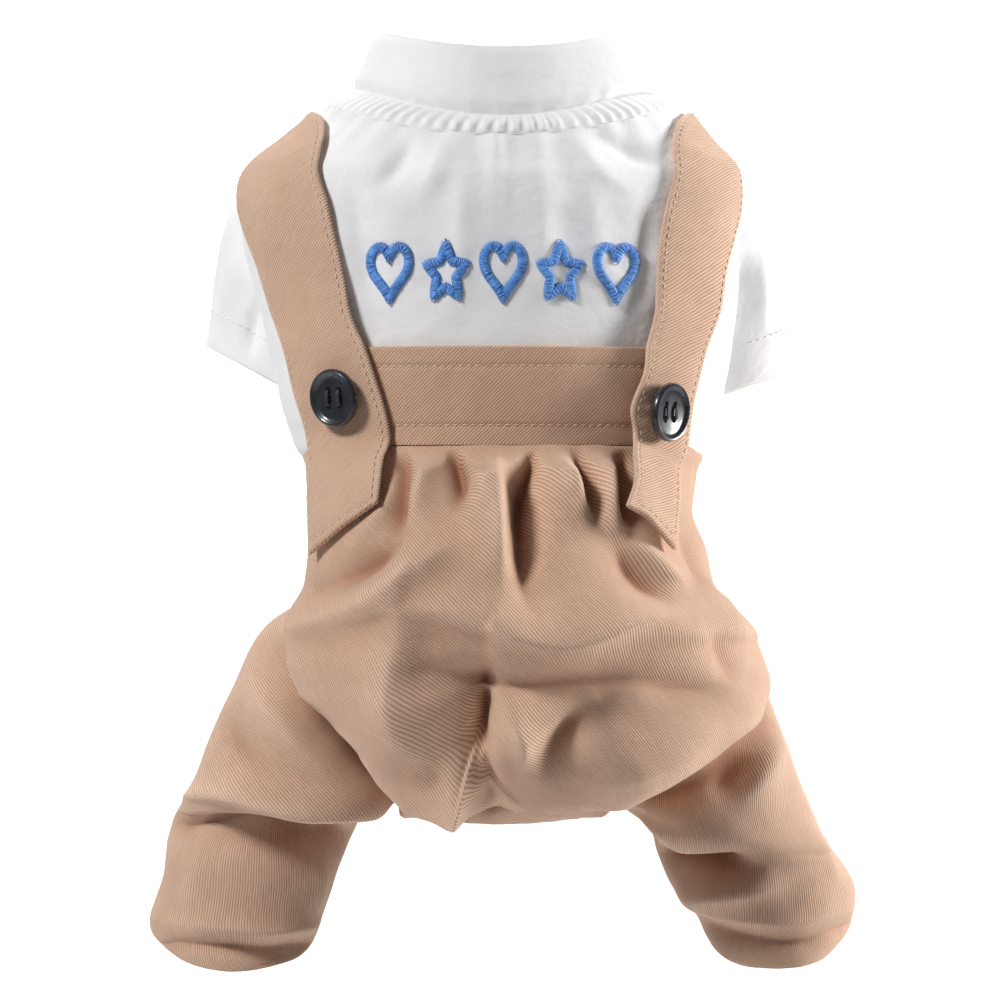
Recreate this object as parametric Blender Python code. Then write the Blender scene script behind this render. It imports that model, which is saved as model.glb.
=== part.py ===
"""A small dog's jumpsuit, as it hangs when worn: white shirt, twill trousers, straps and buttons.

Metres, +Z towards the neck, -Y the dog's back, which is the side with the buttons, +X that side's right.
The origin is the middle of the neck seam. Angles run round the body from the middle of the back, where
they are 0, towards +X; the middle of the belly is at half a turn. Drops are measured down from the neck seam.
"""

import math
from collections import namedtuple

import bmesh
import bpy
import numpy as np
from mathutils import Matrix, Vector

# Cloth and clearances
SHIRT_CLOTH = 0.0016
TWILL_CLOTH = 0.0018
COLLAR_CLOTH = 0.0024
STRAP_CLOTH = 0.0022
BAND_CLOTH = 0.0020
THREAD_HEIGHT = 0.0009
SEAM_GAP = 0.0004

# Shirt
NECK_HALF_WIDTH = 0.0465
NECK_BACK = 0.0400
NECK_BELLY = 0.0440
NECK_SIDE_RISE = 0.0095
NAPE_DROP = 0.0032
THROAT_DROP = 0.0080
SHOULDER_LEAN = 0.0040
CHEST_HALF_WIDTH = 0.0785
CHEST_BACK = 0.0530
CHEST_BELLY = 0.0660
WAIST_HALF_WIDTH = 0.0600
WAIST_BACK = 0.0495
WAIST_BELLY = 0.0590
WAIST_DROP = 0.1040
NECK_CASING_HEIGHT = 0.0068
NECK_CASING_TAPER = 0.45
NECK_RIBS = 32
RIB_HEIGHT = 0.0009

# Collar
COLLAR_HEIGHT = 0.0212
COLLAR_TOP_HALF_WIDTH = 0.0405
COLLAR_TOP_BACK = 0.0350
COLLAR_TOP_BELLY = 0.0390
COLLAR_SIDE_LOSS = 0.0041

# Sleeves
SLEEVE_RADIUS = 0.0235
SLEEVE_DROP = 0.0840
SLEEVE_REACH = 0.0750
SLEEVE_FORWARD = 0.0310

# Band, straps and buttons
BAND_HEIGHT = 0.0310
BAND_HALF_ANGLE = math.radians(50)
FLAP_LENGTH = 0.0330
BUTTON_RADIUS = 0.0090
BUTTON_THICKNESS = 0.0030
BUTTON_RIM_WIDTH = 0.0018
BUTTON_DISH_DEPTH = 0.0011
BUTTON_HOLE_RADIUS = 0.0011
BUTTON_HOLE_SPACING = 0.0044
# Each button's place: across its strap from the inner edge, down from the neck seam, and how far it turns
# to the side from lying flat on the strap.
LEFT_BUTTON_ACROSS = 0.40
LEFT_BUTTON_DROP = 0.0895
LEFT_BUTTON_TURN = math.radians(4)
RIGHT_BUTTON_ACROSS = 0.40
RIGHT_BUTTON_DROP = 0.0935
RIGHT_BUTTON_TURN = math.radians(12)
BUTTON_TURN_LIFT = 0.75

# Trousers
SEAT_DROP = 0.1190
HIP_LEFT = 0.0675
HIP_RIGHT = 0.0845
SEAT_BACK = 0.0830
SEAT_BELLY = 0.0660
WAIST_SIDE_DROP = 0.0045
TAIL_HALF_WIDTH = 0.0335
TAIL_BACK = 0.0380
TAIL_BELLY = 0.0340
TAIL_SIDE_RISE = 0.0060
TAIL_CASING_HEIGHT = 0.0065
TAIL_RIBS = 24
LEG_DROP = 0.2580
LEG_RADIUS = 0.0300
LEG_REACH = 0.0850

# Stitched motifs
MOTIF_HEIGHT = 0.0195
MOTIF_WIDTH = 0.0150
MOTIF_PITCH = 0.0172
MOTIF_STROKE = 0.0032
MOTIF_DROP = 0.0520

# How finely the solids are faceted
BODY_SEGMENTS = 36
SEAT_BACK_SEGMENTS = 30
SEAT_BELLY_SEGMENTS = 12
LIMB_SEGMENTS = 18
SLEEVE_SEGMENTS = 18
BUTTON_SEGMENTS = 18

HALF_TURN = math.pi
FULL_TURN = 2 * math.pi

# The trunk from the neck seam to the shirt's hem. drop is a share of WAIST_DROP; neck, chest and waist say
# how much of each of the three named sections the row holds; lift is a share of the neck seam's own rise
# and fall, and lean a share of SHOULDER_LEAN.
TrunkRow = namedtuple("TrunkRow", "drop neck chest waist lift lean")
TRUNK_ROWS = [
    TrunkRow(0.00, 1.00, 0.00, 0.00, 1.00, 0.0),
    TrunkRow(0.035, 0.72, 0.28, 0.00, 0.84, 0.1),
    TrunkRow(0.075, 0.60, 0.40, 0.00, 0.74, 0.2),
    TrunkRow(0.15, 0.32, 0.68, 0.00, 0.60, 0.6),
    TrunkRow(0.20, 0.09, 0.90, 0.01, 0.45, 0.9),
    TrunkRow(0.27, 0.00, 0.98, 0.02, 0.30, 1.0),
    TrunkRow(0.38, 0.00, 0.96, 0.04, 0.10, 0.9),
    TrunkRow(0.50, 0.00, 0.89, 0.11, 0.00, 0.6),
    TrunkRow(0.63, 0.00, 0.77, 0.23, 0.00, 0.4),
    TrunkRow(0.75, 0.00, 0.65, 0.35, 0.00, 0.2),
    TrunkRow(0.86, 0.00, 0.52, 0.48, 0.00, 0.1),
    TrunkRow(0.95, 0.00, 0.36, 0.64, 0.00, 0.0),
    TrunkRow(1.03, 0.00, 0.10, 0.90, 0.00, 0.0),
    TrunkRow(1.07, 0.00, 0.00, 0.94, 0.00, 0.0),
]

# The trousers' seat from the waist seam to the tail opening. drop is a share of SEAT_DROP; tail blends the
# waist section into the tail opening's; left, right, back and belly run from 0 there to 1 at the hip's sizes.
SeatRow = namedtuple("SeatRow", "drop tail left right back belly")
SEAT_ROWS = [
    SeatRow(0.00, 0.0, 0.00, 0.00, 0.00, 0.00),
    SeatRow(0.05, 0.0, -0.50, -0.17, 0.22, 0.20),
    SeatRow(0.13, 0.0, -0.80, -0.20, 0.46, 0.40),
    SeatRow(0.24, 0.0, -0.75, 0.02, 0.74, 0.70),
    SeatRow(0.34, 0.0, -0.30, 0.17, 0.90, 0.90),
    SeatRow(0.41, 0.0, 0.90, 0.52, 0.97, 1.00),
    SeatRow(0.47, 0.0, 1.00, 0.80, 1.00, 1.00),
    SeatRow(0.53, 1.0, 1.00, 0.95, 1.00, 0.95),
    SeatRow(0.62, 1.0, 0.87, 1.00, 0.97, 0.88),
    SeatRow(0.70, 1.0, 0.60, 0.94, 0.88, 0.78),
    SeatRow(0.77, 1.0, 0.35, 0.76, 0.77, 0.66),
    SeatRow(0.84, 1.0, 0.18, 0.51, 0.61, 0.52),
    SeatRow(0.91, 1.0, 0.07, 0.24, 0.38, 0.32),
    SeatRow(0.96, 1.0, 0.02, 0.08, 0.18, 0.15),
    SeatRow(1.00, 1.0, 0.00, 0.00, 0.00, 0.00),
]

# Folds that stand out of or sink into the seat, each a line bent at its middle. across is a share of
# HIP_RIGHT, down a share of SEAT_DROP, width a share of HIP_RIGHT and height a share of SEAT_BACK.
Fold = namedtuple("Fold", "across_0 down_0 across_1 down_1 across_2 down_2 width height")
SEAT_FOLDS = [
    Fold(-0.25, 0.00, -0.28, 0.12, -0.37, 0.30, 0.085, 0.040),
    Fold(-0.07, 0.00, -0.05, 0.15, -0.20, 0.38, 0.100, 0.050),
    Fold(0.05, 0.00, 0.04, 0.06, 0.02, 0.11, 0.050, 0.026),
    Fold(0.18, 0.00, 0.22, 0.14, 0.30, 0.26, 0.090, 0.044),
    Fold(0.33, 0.00, 0.39, 0.14, 0.42, 0.34, 0.080, 0.044),
    Fold(-0.16, 0.00, -0.16, 0.10, -0.15, 0.17, 0.055, -0.040),
    Fold(0.03, 0.06, 0.05, 0.25, 0.06, 0.42, 0.080, -0.060),
    Fold(0.27, 0.03, 0.30, 0.12, 0.33, 0.20, 0.060, -0.036),
    Fold(-0.33, 0.18, -0.48, 0.27, -0.64, 0.36, 0.110, -0.060),
    Fold(-0.45, 0.50, -0.22, 0.46, 0.04, 0.52, 0.130, 0.050),
    Fold(0.05, 0.56, 0.38, 0.53, 0.80, 0.55, 0.150, 0.050),
    Fold(-0.08, 1.00, -0.08, 0.80, -0.03, 0.64, 0.130, -0.130),
    Fold(-0.36, 0.54, -0.32, 0.75, -0.17, 0.98, 0.140, 0.080),
    Fold(0.52, 0.64, 0.24, 0.78, 0.05, 0.92, 0.220, 0.060),
]

# Sleeves, from inside the chest to the hem. out, ahead and drop are shares of SLEEVE_REACH,
# SLEEVE_FORWARD and SLEEVE_DROP; girth is a share of SLEEVE_RADIUS; tilt raises the outer side, in degrees.
LimbRow = namedtuple("LimbRow", "out ahead drop girth depth tilt dip")
LEFT_SLEEVE_ROWS = [
    LimbRow(0.68, 0.75, 0.32, 0.40, 0.50, 60, 0.0),
    LimbRow(0.90, 0.80, 0.40, 0.66, 0.72, 54, 0.0),
    LimbRow(0.98, 0.86, 0.50, 0.86, 0.86, 46, 0.0),
    LimbRow(0.98, 0.92, 0.63, 0.96, 0.95, 36, 0.0),
    LimbRow(0.99, 0.97, 0.79, 0.98, 0.98, 30, 0.0),
    LimbRow(1.00, 1.00, 0.97, 1.02, 1.02, 28, 0.0),
]
RIGHT_SLEEVE_ROWS = [
    LimbRow(0.62, 0.75, 0.34, 0.40, 0.50, 60, 0.0),
    LimbRow(0.84, 0.80, 0.42, 0.62, 0.74, 56, 0.0),
    LimbRow(0.90, 0.84, 0.51, 0.80, 0.85, 50, 0.0),
    LimbRow(0.92, 0.88, 0.60, 0.93, 0.93, 40, 0.0),
    LimbRow(0.955, 0.92, 0.73, 0.98, 0.96, 30, 0.0),
    LimbRow(0.97, 0.96, 0.85, 1.00, 0.99, 22, 0.0),
    LimbRow(0.955, 1.00, 1.02, 1.02, 1.02, 18, 0.0),
]

# Legs, from inside the seat to the cuff's opening. out, ahead and drop are shares of LEG_REACH, LEG_RADIUS
# and LEG_DROP; girth and depth are shares of LEG_RADIUS; dip lowers the side at the back, a share of it too.
LEFT_LEG_ROWS = [
    LimbRow(0.48, 0.30, 0.640, 0.84, 1.05, 34, 0.00),
    LimbRow(0.60, 0.26, 0.675, 0.95, 1.12, 27, 0.00),
    LimbRow(0.68, 0.20, 0.745, 1.04, 1.12, 19, 0.00),
    LimbRow(0.74, 0.15, 0.805, 1.09, 1.12, 9, 0.02),
    LimbRow(0.80, 0.14, 0.836, 1.08, 1.10, 2, 0.06),
    LimbRow(0.87, 0.22, 0.852, 1.01, 0.98, -1, 0.08),
    LimbRow(0.91, 0.28, 0.880, 0.98, 0.92, -1, 0.04),
    LimbRow(0.95, 0.28, 0.930, 0.915, 0.90, 0, 0.03),
    LimbRow(1.00, 0.28, 0.980, 0.91, 0.90, 1, 0.06),
    LimbRow(1.01, 0.28, 0.999, 0.87, 0.86, 2, 0.16),
    LimbRow(1.00, 0.28, 1.008, 0.76, 0.78, 2, 0.26),
    LimbRow(1.00, 0.28, 1.000, 0.62, 0.62, 2, 0.22),
]
RIGHT_LEG_ROWS = [
    LimbRow(0.46, 0.30, 0.655, 0.86, 1.05, 34, 0.00),
    LimbRow(0.58, 0.26, 0.695, 0.98, 1.12, 26, 0.00),
    LimbRow(0.65, 0.20, 0.765, 1.08, 1.12, 14, 0.00),
    LimbRow(0.72, 0.15, 0.825, 1.12, 1.12, 2, 0.02),
    LimbRow(0.82, 0.15, 0.862, 1.09, 1.08, -9, 0.04),
    LimbRow(0.89, 0.22, 0.885, 0.97, 0.98, -7, 0.06),
    LimbRow(0.925, 0.28, 0.910, 0.98, 0.93, -2, 0.04),
    LimbRow(0.98, 0.28, 0.945, 0.95, 0.92, 3, 0.04),
    LimbRow(1.02, 0.28, 0.973, 0.84, 0.90, 4, 0.06),
    LimbRow(1.03, 0.28, 0.996, 0.77, 0.86, 4, 0.16),
    LimbRow(1.02, 0.28, 1.006, 0.66, 0.78, 3, 0.26),
    LimbRow(1.02, 0.28, 1.000, 0.54, 0.60, 3, 0.22),
]

# A strap from the free end of its flap, up the back, over the shoulder and down the belly, by its inner and
# outer edges. Drops are shares of WAIST_DROP down to the waist seam at 1, and go on down the seat in shares
# of FLAP_LENGTH; angles are in degrees round the body; lifts are shares of what the band adds under a strap.
StrapRow = namedtuple("StrapRow", "inner_drop inner_angle inner_lift outer_drop outer_angle outer_lift")
LEFT_STRAP_ROWS = [
    StrapRow(1.57, 33, 2.6, 2.02, 60, 2.0),
    StrapRow(1.38, 32, 2.3, 1.66, 60, 1.8),
    StrapRow(1.18, 31, 1.8, 1.36, 61, 1.6),
    StrapRow(1.00, 30, 1.4, 1.13, 61, 1.4),
    StrapRow(0.92, 29, 1.2, 0.95, 60, 1.2),
    StrapRow(0.825, 30, 1.2, 0.84, 60, 1.2),
    StrapRow(0.715, 32, 1.2, 0.715, 61, 1.1),
    StrapRow(0.605, 35, 0.8, 0.60, 65, 0.6),
    StrapRow(0.46, 36, 0.2, 0.45, 70, 0.1),
    StrapRow(0.285, 38, 0.3, 0.32, 78, 0.3),
    StrapRow(0.16, 48, 0.3, 0.25, 83, 0.3),
    StrapRow(0.085, 62, 0.2, 0.215, 88, 0.2),
]
RIGHT_STRAP_ROWS = [
    StrapRow(1.69, 29, 3.4, 1.96, 44, 2.4),
    StrapRow(1.42, 31, 3.2, 1.58, 53, 1.8),
    StrapRow(1.18, 32, 2.9, 1.27, 55, 1.4),
    StrapRow(0.99, 33, 2.6, 1.02, 56, 1.2),
    StrapRow(0.885, 31, 2.6, 0.88, 54, 1.1),
    StrapRow(0.785, 34, 2.3, 0.78, 55, 1.1),
    StrapRow(0.71, 35, 1.7, 0.70, 57, 1.1),
    StrapRow(0.605, 38, 0.9, 0.595, 63, 0.6),
    StrapRow(0.48, 39, 0.2, 0.47, 67, 0.1),
    StrapRow(0.30, 42, 0.3, 0.32, 76, 0.3),
    StrapRow(0.16, 50, 0.3, 0.24, 81, 0.3),
    StrapRow(0.085, 63, 0.2, 0.205, 87, 0.2),
]
BELLY_STRAP_ROWS = [
    StrapRow(0.060, 80, 0.2, 0.19, 92, 0.2),
    StrapRow(0.056, 100, 0.3, 0.175, 99, 0.3),
    StrapRow(0.07, 122, 0.4, 0.17, 108, 0.4),
    StrapRow(0.13, 143, 0.4, 0.19, 122, 0.4),
    StrapRow(0.28, 158, 0.3, 0.29, 137, 0.3),
    StrapRow(0.50, 166, 0.2, 0.50, 143, 0.2),
    StrapRow(0.75, 168, 0.2, 0.75, 145, 0.2),
    StrapRow(0.985, 168, 0.3, 0.985, 143, 0.4),
]

COTTON_WHITE = ("white_cotton", (0.90, 0.90, 0.91), 0.85)
SAND_TWILL = ("sand_twill", (0.66, 0.46, 0.33), 0.80)
BUTTON_BLACK = ("black_button", (0.02, 0.025, 0.03), 0.25)
THREAD_BLUE = ("blue_thread", (0.08, 0.30, 0.75), 0.45)


def clear_scene():
    for obj in list(bpy.data.objects):
        bpy.data.objects.remove(obj)


def material(name, colour, roughness):
    made = bpy.data.materials.get(name)
    if made is None:
        made = bpy.data.materials.new(name)
        made.use_nodes = True
        surface = made.node_tree.nodes["Principled BSDF"]
        surface.inputs["Base Color"].default_value = (*colour, 1.0)
        surface.inputs["Roughness"].default_value = roughness
        surface.inputs["Metallic"].default_value = 0.0
    return made


def add_object(name, mesh, finish=None):
    obj = bpy.data.objects.new(name, mesh)
    bpy.context.scene.collection.objects.link(obj)
    if finish is None:
        obj.hide_render = True
        obj.display_type = "WIRE"
    else:
        mesh.materials.append(material(*finish))
    return obj


def smooth(rows, key, at):
    """The columns of a table of rows at the values `at` of its key column, as a curve without overshoot."""
    table = np.array(rows, float)
    places = table[:, rows[0]._fields.index(key)]
    steps = np.diff(places)[:, None]
    slopes = np.diff(table, axis=0) / steps
    same_way = slopes[1:] * slopes[:-1] > 0
    middle = np.where(same_way, 2 * slopes[1:] * slopes[:-1] / np.where(same_way, slopes[1:] + slopes[:-1], 1), 0)
    tangents = np.vstack([slopes[:1], middle, slopes[-1:]])
    at = np.clip(np.asarray(at, float), places[0], places[-1])
    left = np.clip(np.searchsorted(places, at, side="right") - 1, 0, len(places) - 2)
    step = steps[left]
    t = ((at - places[left]) / step[..., 0])[..., None]
    value = (
        (1 + 2 * t) * (1 - t) ** 2 * table[left]
        + t * (1 - t) ** 2 * step * tangents[left]
        + t**2 * (3 - 2 * t) * table[left + 1]
        - t**2 * (1 - t) * step * tangents[left + 1]
    )
    return rows[0].__class__(*np.moveaxis(value, -1, 0))


def numbered(rows):
    """The table with a first column that counts its rows, for a path whose own columns turn back."""
    kind = namedtuple("Numbered", ("row",) + rows[0]._fields)
    return [kind(number, *row) for number, row in enumerate(rows)]


def oval(angle, half_left, half_right, back, belly):
    """Points round the body: x and y of a section whose four half sizes may differ."""
    across, along = np.sin(angle), -np.cos(angle)
    x = across * np.where(across < 0, half_left, half_right)
    y = along * np.where(along < 0, back, belly)
    return x, y


def trunk_sizes(drop):
    """The half width, back and belly of the trunk's section at a drop, and the row it comes from."""
    row = smooth(TRUNK_ROWS, "drop", drop)
    width = row.neck * NECK_HALF_WIDTH + row.chest * CHEST_HALF_WIDTH + row.waist * WAIST_HALF_WIDTH
    back = row.neck * NECK_BACK + row.chest * CHEST_BACK + row.waist * WAIST_BACK
    belly = row.neck * NECK_BELLY + row.chest * CHEST_BELLY + row.waist * WAIST_BELLY
    return width, back, belly, row


def trunk(angle, drop):
    """The outside of the shirt at angles round the body and drops in shares of WAIST_DROP."""
    width, back, belly, row = trunk_sizes(drop)
    x, y = oval(angle, width, width, back, belly)
    x = x - SHOULDER_LEAN * row.lean
    nape = np.clip(np.cos(angle), 0, 1) ** 2
    throat = ((1 - np.cos(angle)) / 2) ** 2
    z = -WAIST_DROP * np.broadcast_to(drop, x.shape)
    z = z + row.lift * (NECK_SIDE_RISE * np.sin(angle) ** 2 - NAPE_DROP * nape - THROAT_DROP * throat)
    return np.stack([x, y, z], axis=-1)


def waist_seam(angle):
    """How far down the waist seam lies at each angle: straight under the band, lower past the straps."""
    past = np.clip((np.abs(np.angle(np.exp(1j * angle))) - BAND_HALF_ANGLE) / (HALF_TURN / 4), 0, 1)
    return WAIST_DROP + SEAM_GAP + WAIST_SIDE_DROP * past * past * (3 - 2 * past)


def fold_relief(across, down):
    """How far the folds push the seat out at places across and down it, in metres."""
    relief = np.zeros(np.broadcast(across, down).shape)
    for fold in SEAT_FOLDS:
        points = [(fold.across_0, fold.down_0), (fold.across_1, fold.down_1), (fold.across_2, fold.down_2)]
        best = np.full(relief.shape, np.inf)
        along = np.zeros(relief.shape)
        for number, (start, end) in enumerate(zip(points, points[1:])):
            run = np.subtract(end, start)
            share = ((across - start[0]) * run[0] + (down - start[1]) * run[1]) / (run @ run)
            share = np.clip(share, 0, 1)
            away = np.hypot(across - start[0] - share * run[0], down - start[1] - share * run[1])
            nearer = away < best
            best = np.where(nearer, away, best)
            along = np.where(nearer, (number + share) / 2, along)
        fade = np.clip(4 * np.minimum(along + 0.12, 1.1 - along), 0, 1)
        relief += fold.height * SEAT_BACK * fade * np.exp(-((best / fold.width) ** 2))
    return relief


def seat(angle, drop, extra=0.0):
    """The outside of the trousers' seat, pushed out by `extra`, at drops in shares of SEAT_DROP."""
    row = smooth(SEAT_ROWS, "drop", drop)
    top = waist_seam(angle)
    width, back, belly, _ = trunk_sizes(top / WAIST_DROP)
    seam = 2 * SEAM_GAP + TWILL_CLOTH
    waist = [width + seam, width + seam, back + seam, belly + seam]
    tail = [TAIL_HALF_WIDTH, TAIL_HALF_WIDTH, TAIL_BACK, TAIL_BELLY]
    hip = [HIP_LEFT, HIP_RIGHT, SEAT_BACK, SEAT_BELLY]
    sizes = []
    for size, share in enumerate((row.left, row.right, row.back, row.belly)):
        base = (1 - row.tail) * waist[size] + row.tail * tail[size]
        sizes.append(base + (hip[size] - base) * share + extra)
    x, y = oval(angle, *sizes)
    z = -top - (WAIST_DROP + SEAT_DROP - top) * drop
    z = z + TAIL_SIDE_RISE * np.clip(drop, 0, 1) ** 4 * np.sin(angle / 2) ** 2
    facing = np.clip(np.cos(angle) * 1.6, 0, 1)
    push = fold_relief(x / HIP_RIGHT, (-z - WAIST_DROP) / SEAT_DROP) * facing
    held = np.clip(np.minimum(drop, 1 - drop) / 0.06, 0, 1)
    push = push * held
    x = x + push * np.sin(angle)
    y = y - push * np.cos(angle)
    return np.stack([x, y, z], axis=-1)


def limb(rows, side, reach, forward, fall, radius, angle, place, extra=0.0):
    """A tube down a table of rows: angles round it and places counted in rows."""
    row = smooth(numbered(rows), "row", place)
    tilt = np.radians(row.tilt)
    wide = row.girth * radius + extra
    deep = row.depth * radius + extra
    sideways, nearwards = np.sin(angle), np.cos(angle)
    x = side * (row.out * reach + wide * sideways * np.cos(tilt))
    y = row.ahead * forward - deep * nearwards
    z = -row.drop * fall + wide * sideways * np.sin(tilt) - row.dip * radius * nearwards
    return np.stack([x, y, z], axis=-1)


def leg(rows, side, angle, place, extra=0.0):
    return limb(rows, side, LEG_REACH, LEG_RADIUS, LEG_DROP, LEG_RADIUS, angle, place, extra)


def sleeve(rows, side, angle, place, extra=0.0):
    return limb(rows, side, SLEEVE_REACH, SLEEVE_FORWARD, SLEEVE_DROP, SLEEVE_RADIUS, angle, place, extra)


def outward_normals(points, around=False):
    """Unit normals of a grid of points, pointing away from the body's axis."""
    along = np.gradient(points, axis=0)
    if around:
        across = np.roll(points, -1, axis=1) - np.roll(points, 1, axis=1)
    else:
        across = np.gradient(points, axis=1)
    normal = np.cross(along, across)
    normal /= np.maximum(np.linalg.norm(normal, axis=-1, keepdims=True), 1e-12)
    outwards = points * np.array([1.0, 1.0, 0.0])
    return normal * np.sign((normal * outwards).sum())


def grid_faces(rows, columns, around, first=0, turned=False):
    """The faces of a grid of vertices numbered row by row from `first`."""
    faces = []
    for row in range(rows - 1):
        for column in range(columns if around else columns - 1):
            beside = (column + 1) % columns
            face = (
                row * columns + column,
                row * columns + beside,
                (row + 1) * columns + beside,
                (row + 1) * columns + column,
            )
            faces.append([first + corner for corner in (face[::-1] if turned else face)])
    return faces


def finished_mesh(name, points, faces):
    """A smooth-shaded closed mesh, its faces turned to the outside."""
    mesh = bpy.data.meshes.new(name)
    mesh.from_pydata(points.reshape(-1, 3).tolist(), [], faces)
    work = bmesh.new()
    work.from_mesh(mesh)
    bmesh.ops.recalc_face_normals(work, faces=work.faces)
    if work.calc_volume(signed=True) < 0:
        bmesh.ops.reverse_faces(work, faces=work.faces)
    work.to_mesh(mesh)
    work.free()
    mesh.shade_smooth()
    return mesh


def capped_mesh(name, points):
    """The closed mesh of a tube of points, with a flat cap at each end."""
    rows, columns = points.shape[:2]
    faces = grid_faces(rows, columns, True)
    faces.append(list(range(columns)))
    faces.append(list(range((rows - 1) * columns, rows * columns)))
    return finished_mesh(name, points, faces)


def tube_normals(points):
    """Unit normals of a grid that closes round, pointing away from the middle of each of its rows."""
    along = np.gradient(points, axis=0)
    across = np.roll(points, -1, axis=1) - np.roll(points, 1, axis=1)
    normal = np.cross(along, across)
    normal /= np.maximum(np.linalg.norm(normal, axis=-1, keepdims=True), 1e-12)
    outwards = points - points.mean(axis=1, keepdims=True)
    return normal * np.sign((normal * outwards).sum())


def cloth_object(name, points, thickness, finish, around=True, normal=None):
    """A cloth wall: its outside follows the grid, and its thickness lies within.

    The ends of a tube are squared off in the plane of its end rows, so that the next piece meets them edge to edge.
    """
    rows, columns = points.shape[:2]
    if normal is None and around:
        normal = tube_normals(points)
        for end in (0, -1):
            across = np.roll(points[end], -1, axis=0) - np.roll(points[end], 1, axis=0)
            across /= np.linalg.norm(across, axis=-1, keepdims=True)
            middle = points[end] - points[end].mean(axis=0)
            plane = np.cross(points[end], np.roll(points[end], -1, axis=0)).sum(axis=0)
            plane /= np.linalg.norm(plane)
            flat = middle - plane * (middle @ plane)[:, None]
            flat = flat - across * (flat * across).sum(axis=-1, keepdims=True)
            normal[end] = flat / np.linalg.norm(flat, axis=-1, keepdims=True)
    elif normal is None:
        normal = outward_normals(points)
    inside = points - thickness * normal
    count = rows * columns
    faces = grid_faces(rows, columns, around) + grid_faces(rows, columns, around, count, True)
    for row in (0, rows - 1):
        for column in range(columns if around else columns - 1):
            here, beside = row * columns + column, row * columns + (column + 1) % columns
            faces.append([here, beside, count + beside, count + here])
    for column in () if around else (0, columns - 1):
        for row in range(rows - 1):
            here, below = row * columns + column, (row + 1) * columns + column
            faces.append([here, below, count + below, count + here])
    return add_object(name, finished_mesh(name, np.concatenate([points, inside]), faces), finish)


def cut(obj, cutter, name):
    hole = obj.modifiers.new(name, "BOOLEAN")
    hole.operation = "DIFFERENCE"
    hole.solver = "EXACT"
    hole.object = cutter


def turn(count):
    return np.linspace(0, FULL_TURN, count, endpoint=False)


def casing_drop(angle):
    """Where the neck casing ends at each angle, in shares of WAIST_DROP: lower down at the back and belly."""
    return NECK_CASING_HEIGHT * (1 - NECK_CASING_TAPER * np.sin(angle) ** 2) / WAIST_DROP


def shirt_grid():
    """Angles and drops of the shirt's body, from under the neck casing to the hem inside the trousers."""
    angle, number = np.meshgrid(turn(BODY_SEGMENTS), np.arange(len(TRUNK_ROWS) - 1))
    drops = np.array([row.drop for row in TRUNK_ROWS[1:]])[number]
    drops[0] = casing_drop(angle[0]) + SEAM_GAP / WAIST_DROP
    drops[1] = np.maximum(drops[1], drops[0] * 1.05)
    return angle, drops


def shirt():
    """The shirt's body, its armholes still closed."""
    return cloth_object("shirt_body", trunk(*shirt_grid()), SHIRT_CLOTH, COTTON_WHITE)


def neck_casing():
    """The elastic casing gathered under the collar, ribbed all round."""
    ribs = turn(2 * NECK_RIBS)
    angle, share = np.meshgrid(ribs, [0.0, 0.5, 1.0])
    points = trunk(angle, share * casing_drop(angle))
    crest = (np.arange(2 * NECK_RIBS) % 2)[None, :] * np.array([0.4, 1.0, 0.6])[:, None]
    outwards = np.stack([np.sin(angle), -np.cos(angle), 0 * angle], axis=-1)
    points = points + RIB_HEIGHT * crest[..., None] * outwards
    return cloth_object("neck_casing", points, SHIRT_CLOTH, COTTON_WHITE)


CollarRow = namedtuple("CollarRow", "height top bulge")
COLLAR_ROWS = [
    CollarRow(0.00, 0.00, 0.00),
    CollarRow(0.25, 0.34, 0.05),
    CollarRow(0.60, 0.74, 0.04),
    CollarRow(0.92, 0.97, 0.02),
    CollarRow(1.00, 1.03, -0.01),
]


def collar():
    """The stand collar, two layers folded at the top."""
    angle, number = np.meshgrid(turn(BODY_SEGMENTS), np.arange(len(COLLAR_ROWS)))
    height = np.array([row.height for row in COLLAR_ROWS])[number]
    top = np.array([row.top for row in COLLAR_ROWS])[number]
    bulge = np.array([row.bulge for row in COLLAR_ROWS])[number]
    width = NECK_HALF_WIDTH + (COLLAR_TOP_HALF_WIDTH - NECK_HALF_WIDTH) * top
    back = NECK_BACK + (COLLAR_TOP_BACK - NECK_BACK) * top
    belly = NECK_BELLY + (COLLAR_TOP_BELLY - NECK_BELLY) * top
    x, y = oval(angle, width * (1 + bulge), width * (1 + bulge), back * (1 + bulge), belly * (1 + bulge))
    base = trunk(angle, 0 * height)[..., 2] + SEAM_GAP
    z = base + height * (COLLAR_HEIGHT - COLLAR_SIDE_LOSS * np.sin(angle) ** 2)
    return cloth_object("collar", np.stack([x, y, z], axis=-1), COLLAR_CLOTH, COTTON_WHITE)


def sleeves(shirt_body):
    """The short sleeves, sewn over the armholes that their bores open in the shirt."""
    chest = closed_body("chest_cutter", trunk(*shirt_grid()), SEAM_GAP)
    for name, side, rows in (("sleeve_left", -1, LEFT_SLEEVE_ROWS), ("sleeve_right", 1, RIGHT_SLEEVE_ROWS)):
        angle, along = np.meshgrid(turn(SLEEVE_SEGMENTS), np.arange(len(rows)))
        points = sleeve(rows, side, angle, along)
        obj = cloth_object(name, points, SHIRT_CLOTH, COTTON_WHITE)
        cut(obj, chest, "chest")
        bore = sleeve(rows, side, angle, along, -SHIRT_CLOTH)
        cutter = add_object(name + "_bore", capped_mesh(name + "_bore", bore))
        cut(shirt_body, cutter, name)


def closed_body(name, points, extra):
    """A closed cutter that fills a surface of the body, pushed out by `extra` all round."""
    points = points + extra * outward_normals(points, around=True)
    points[0, :, 2] += extra
    points[-1, :, 2] -= extra
    return add_object(name, capped_mesh(name, points))


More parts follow.
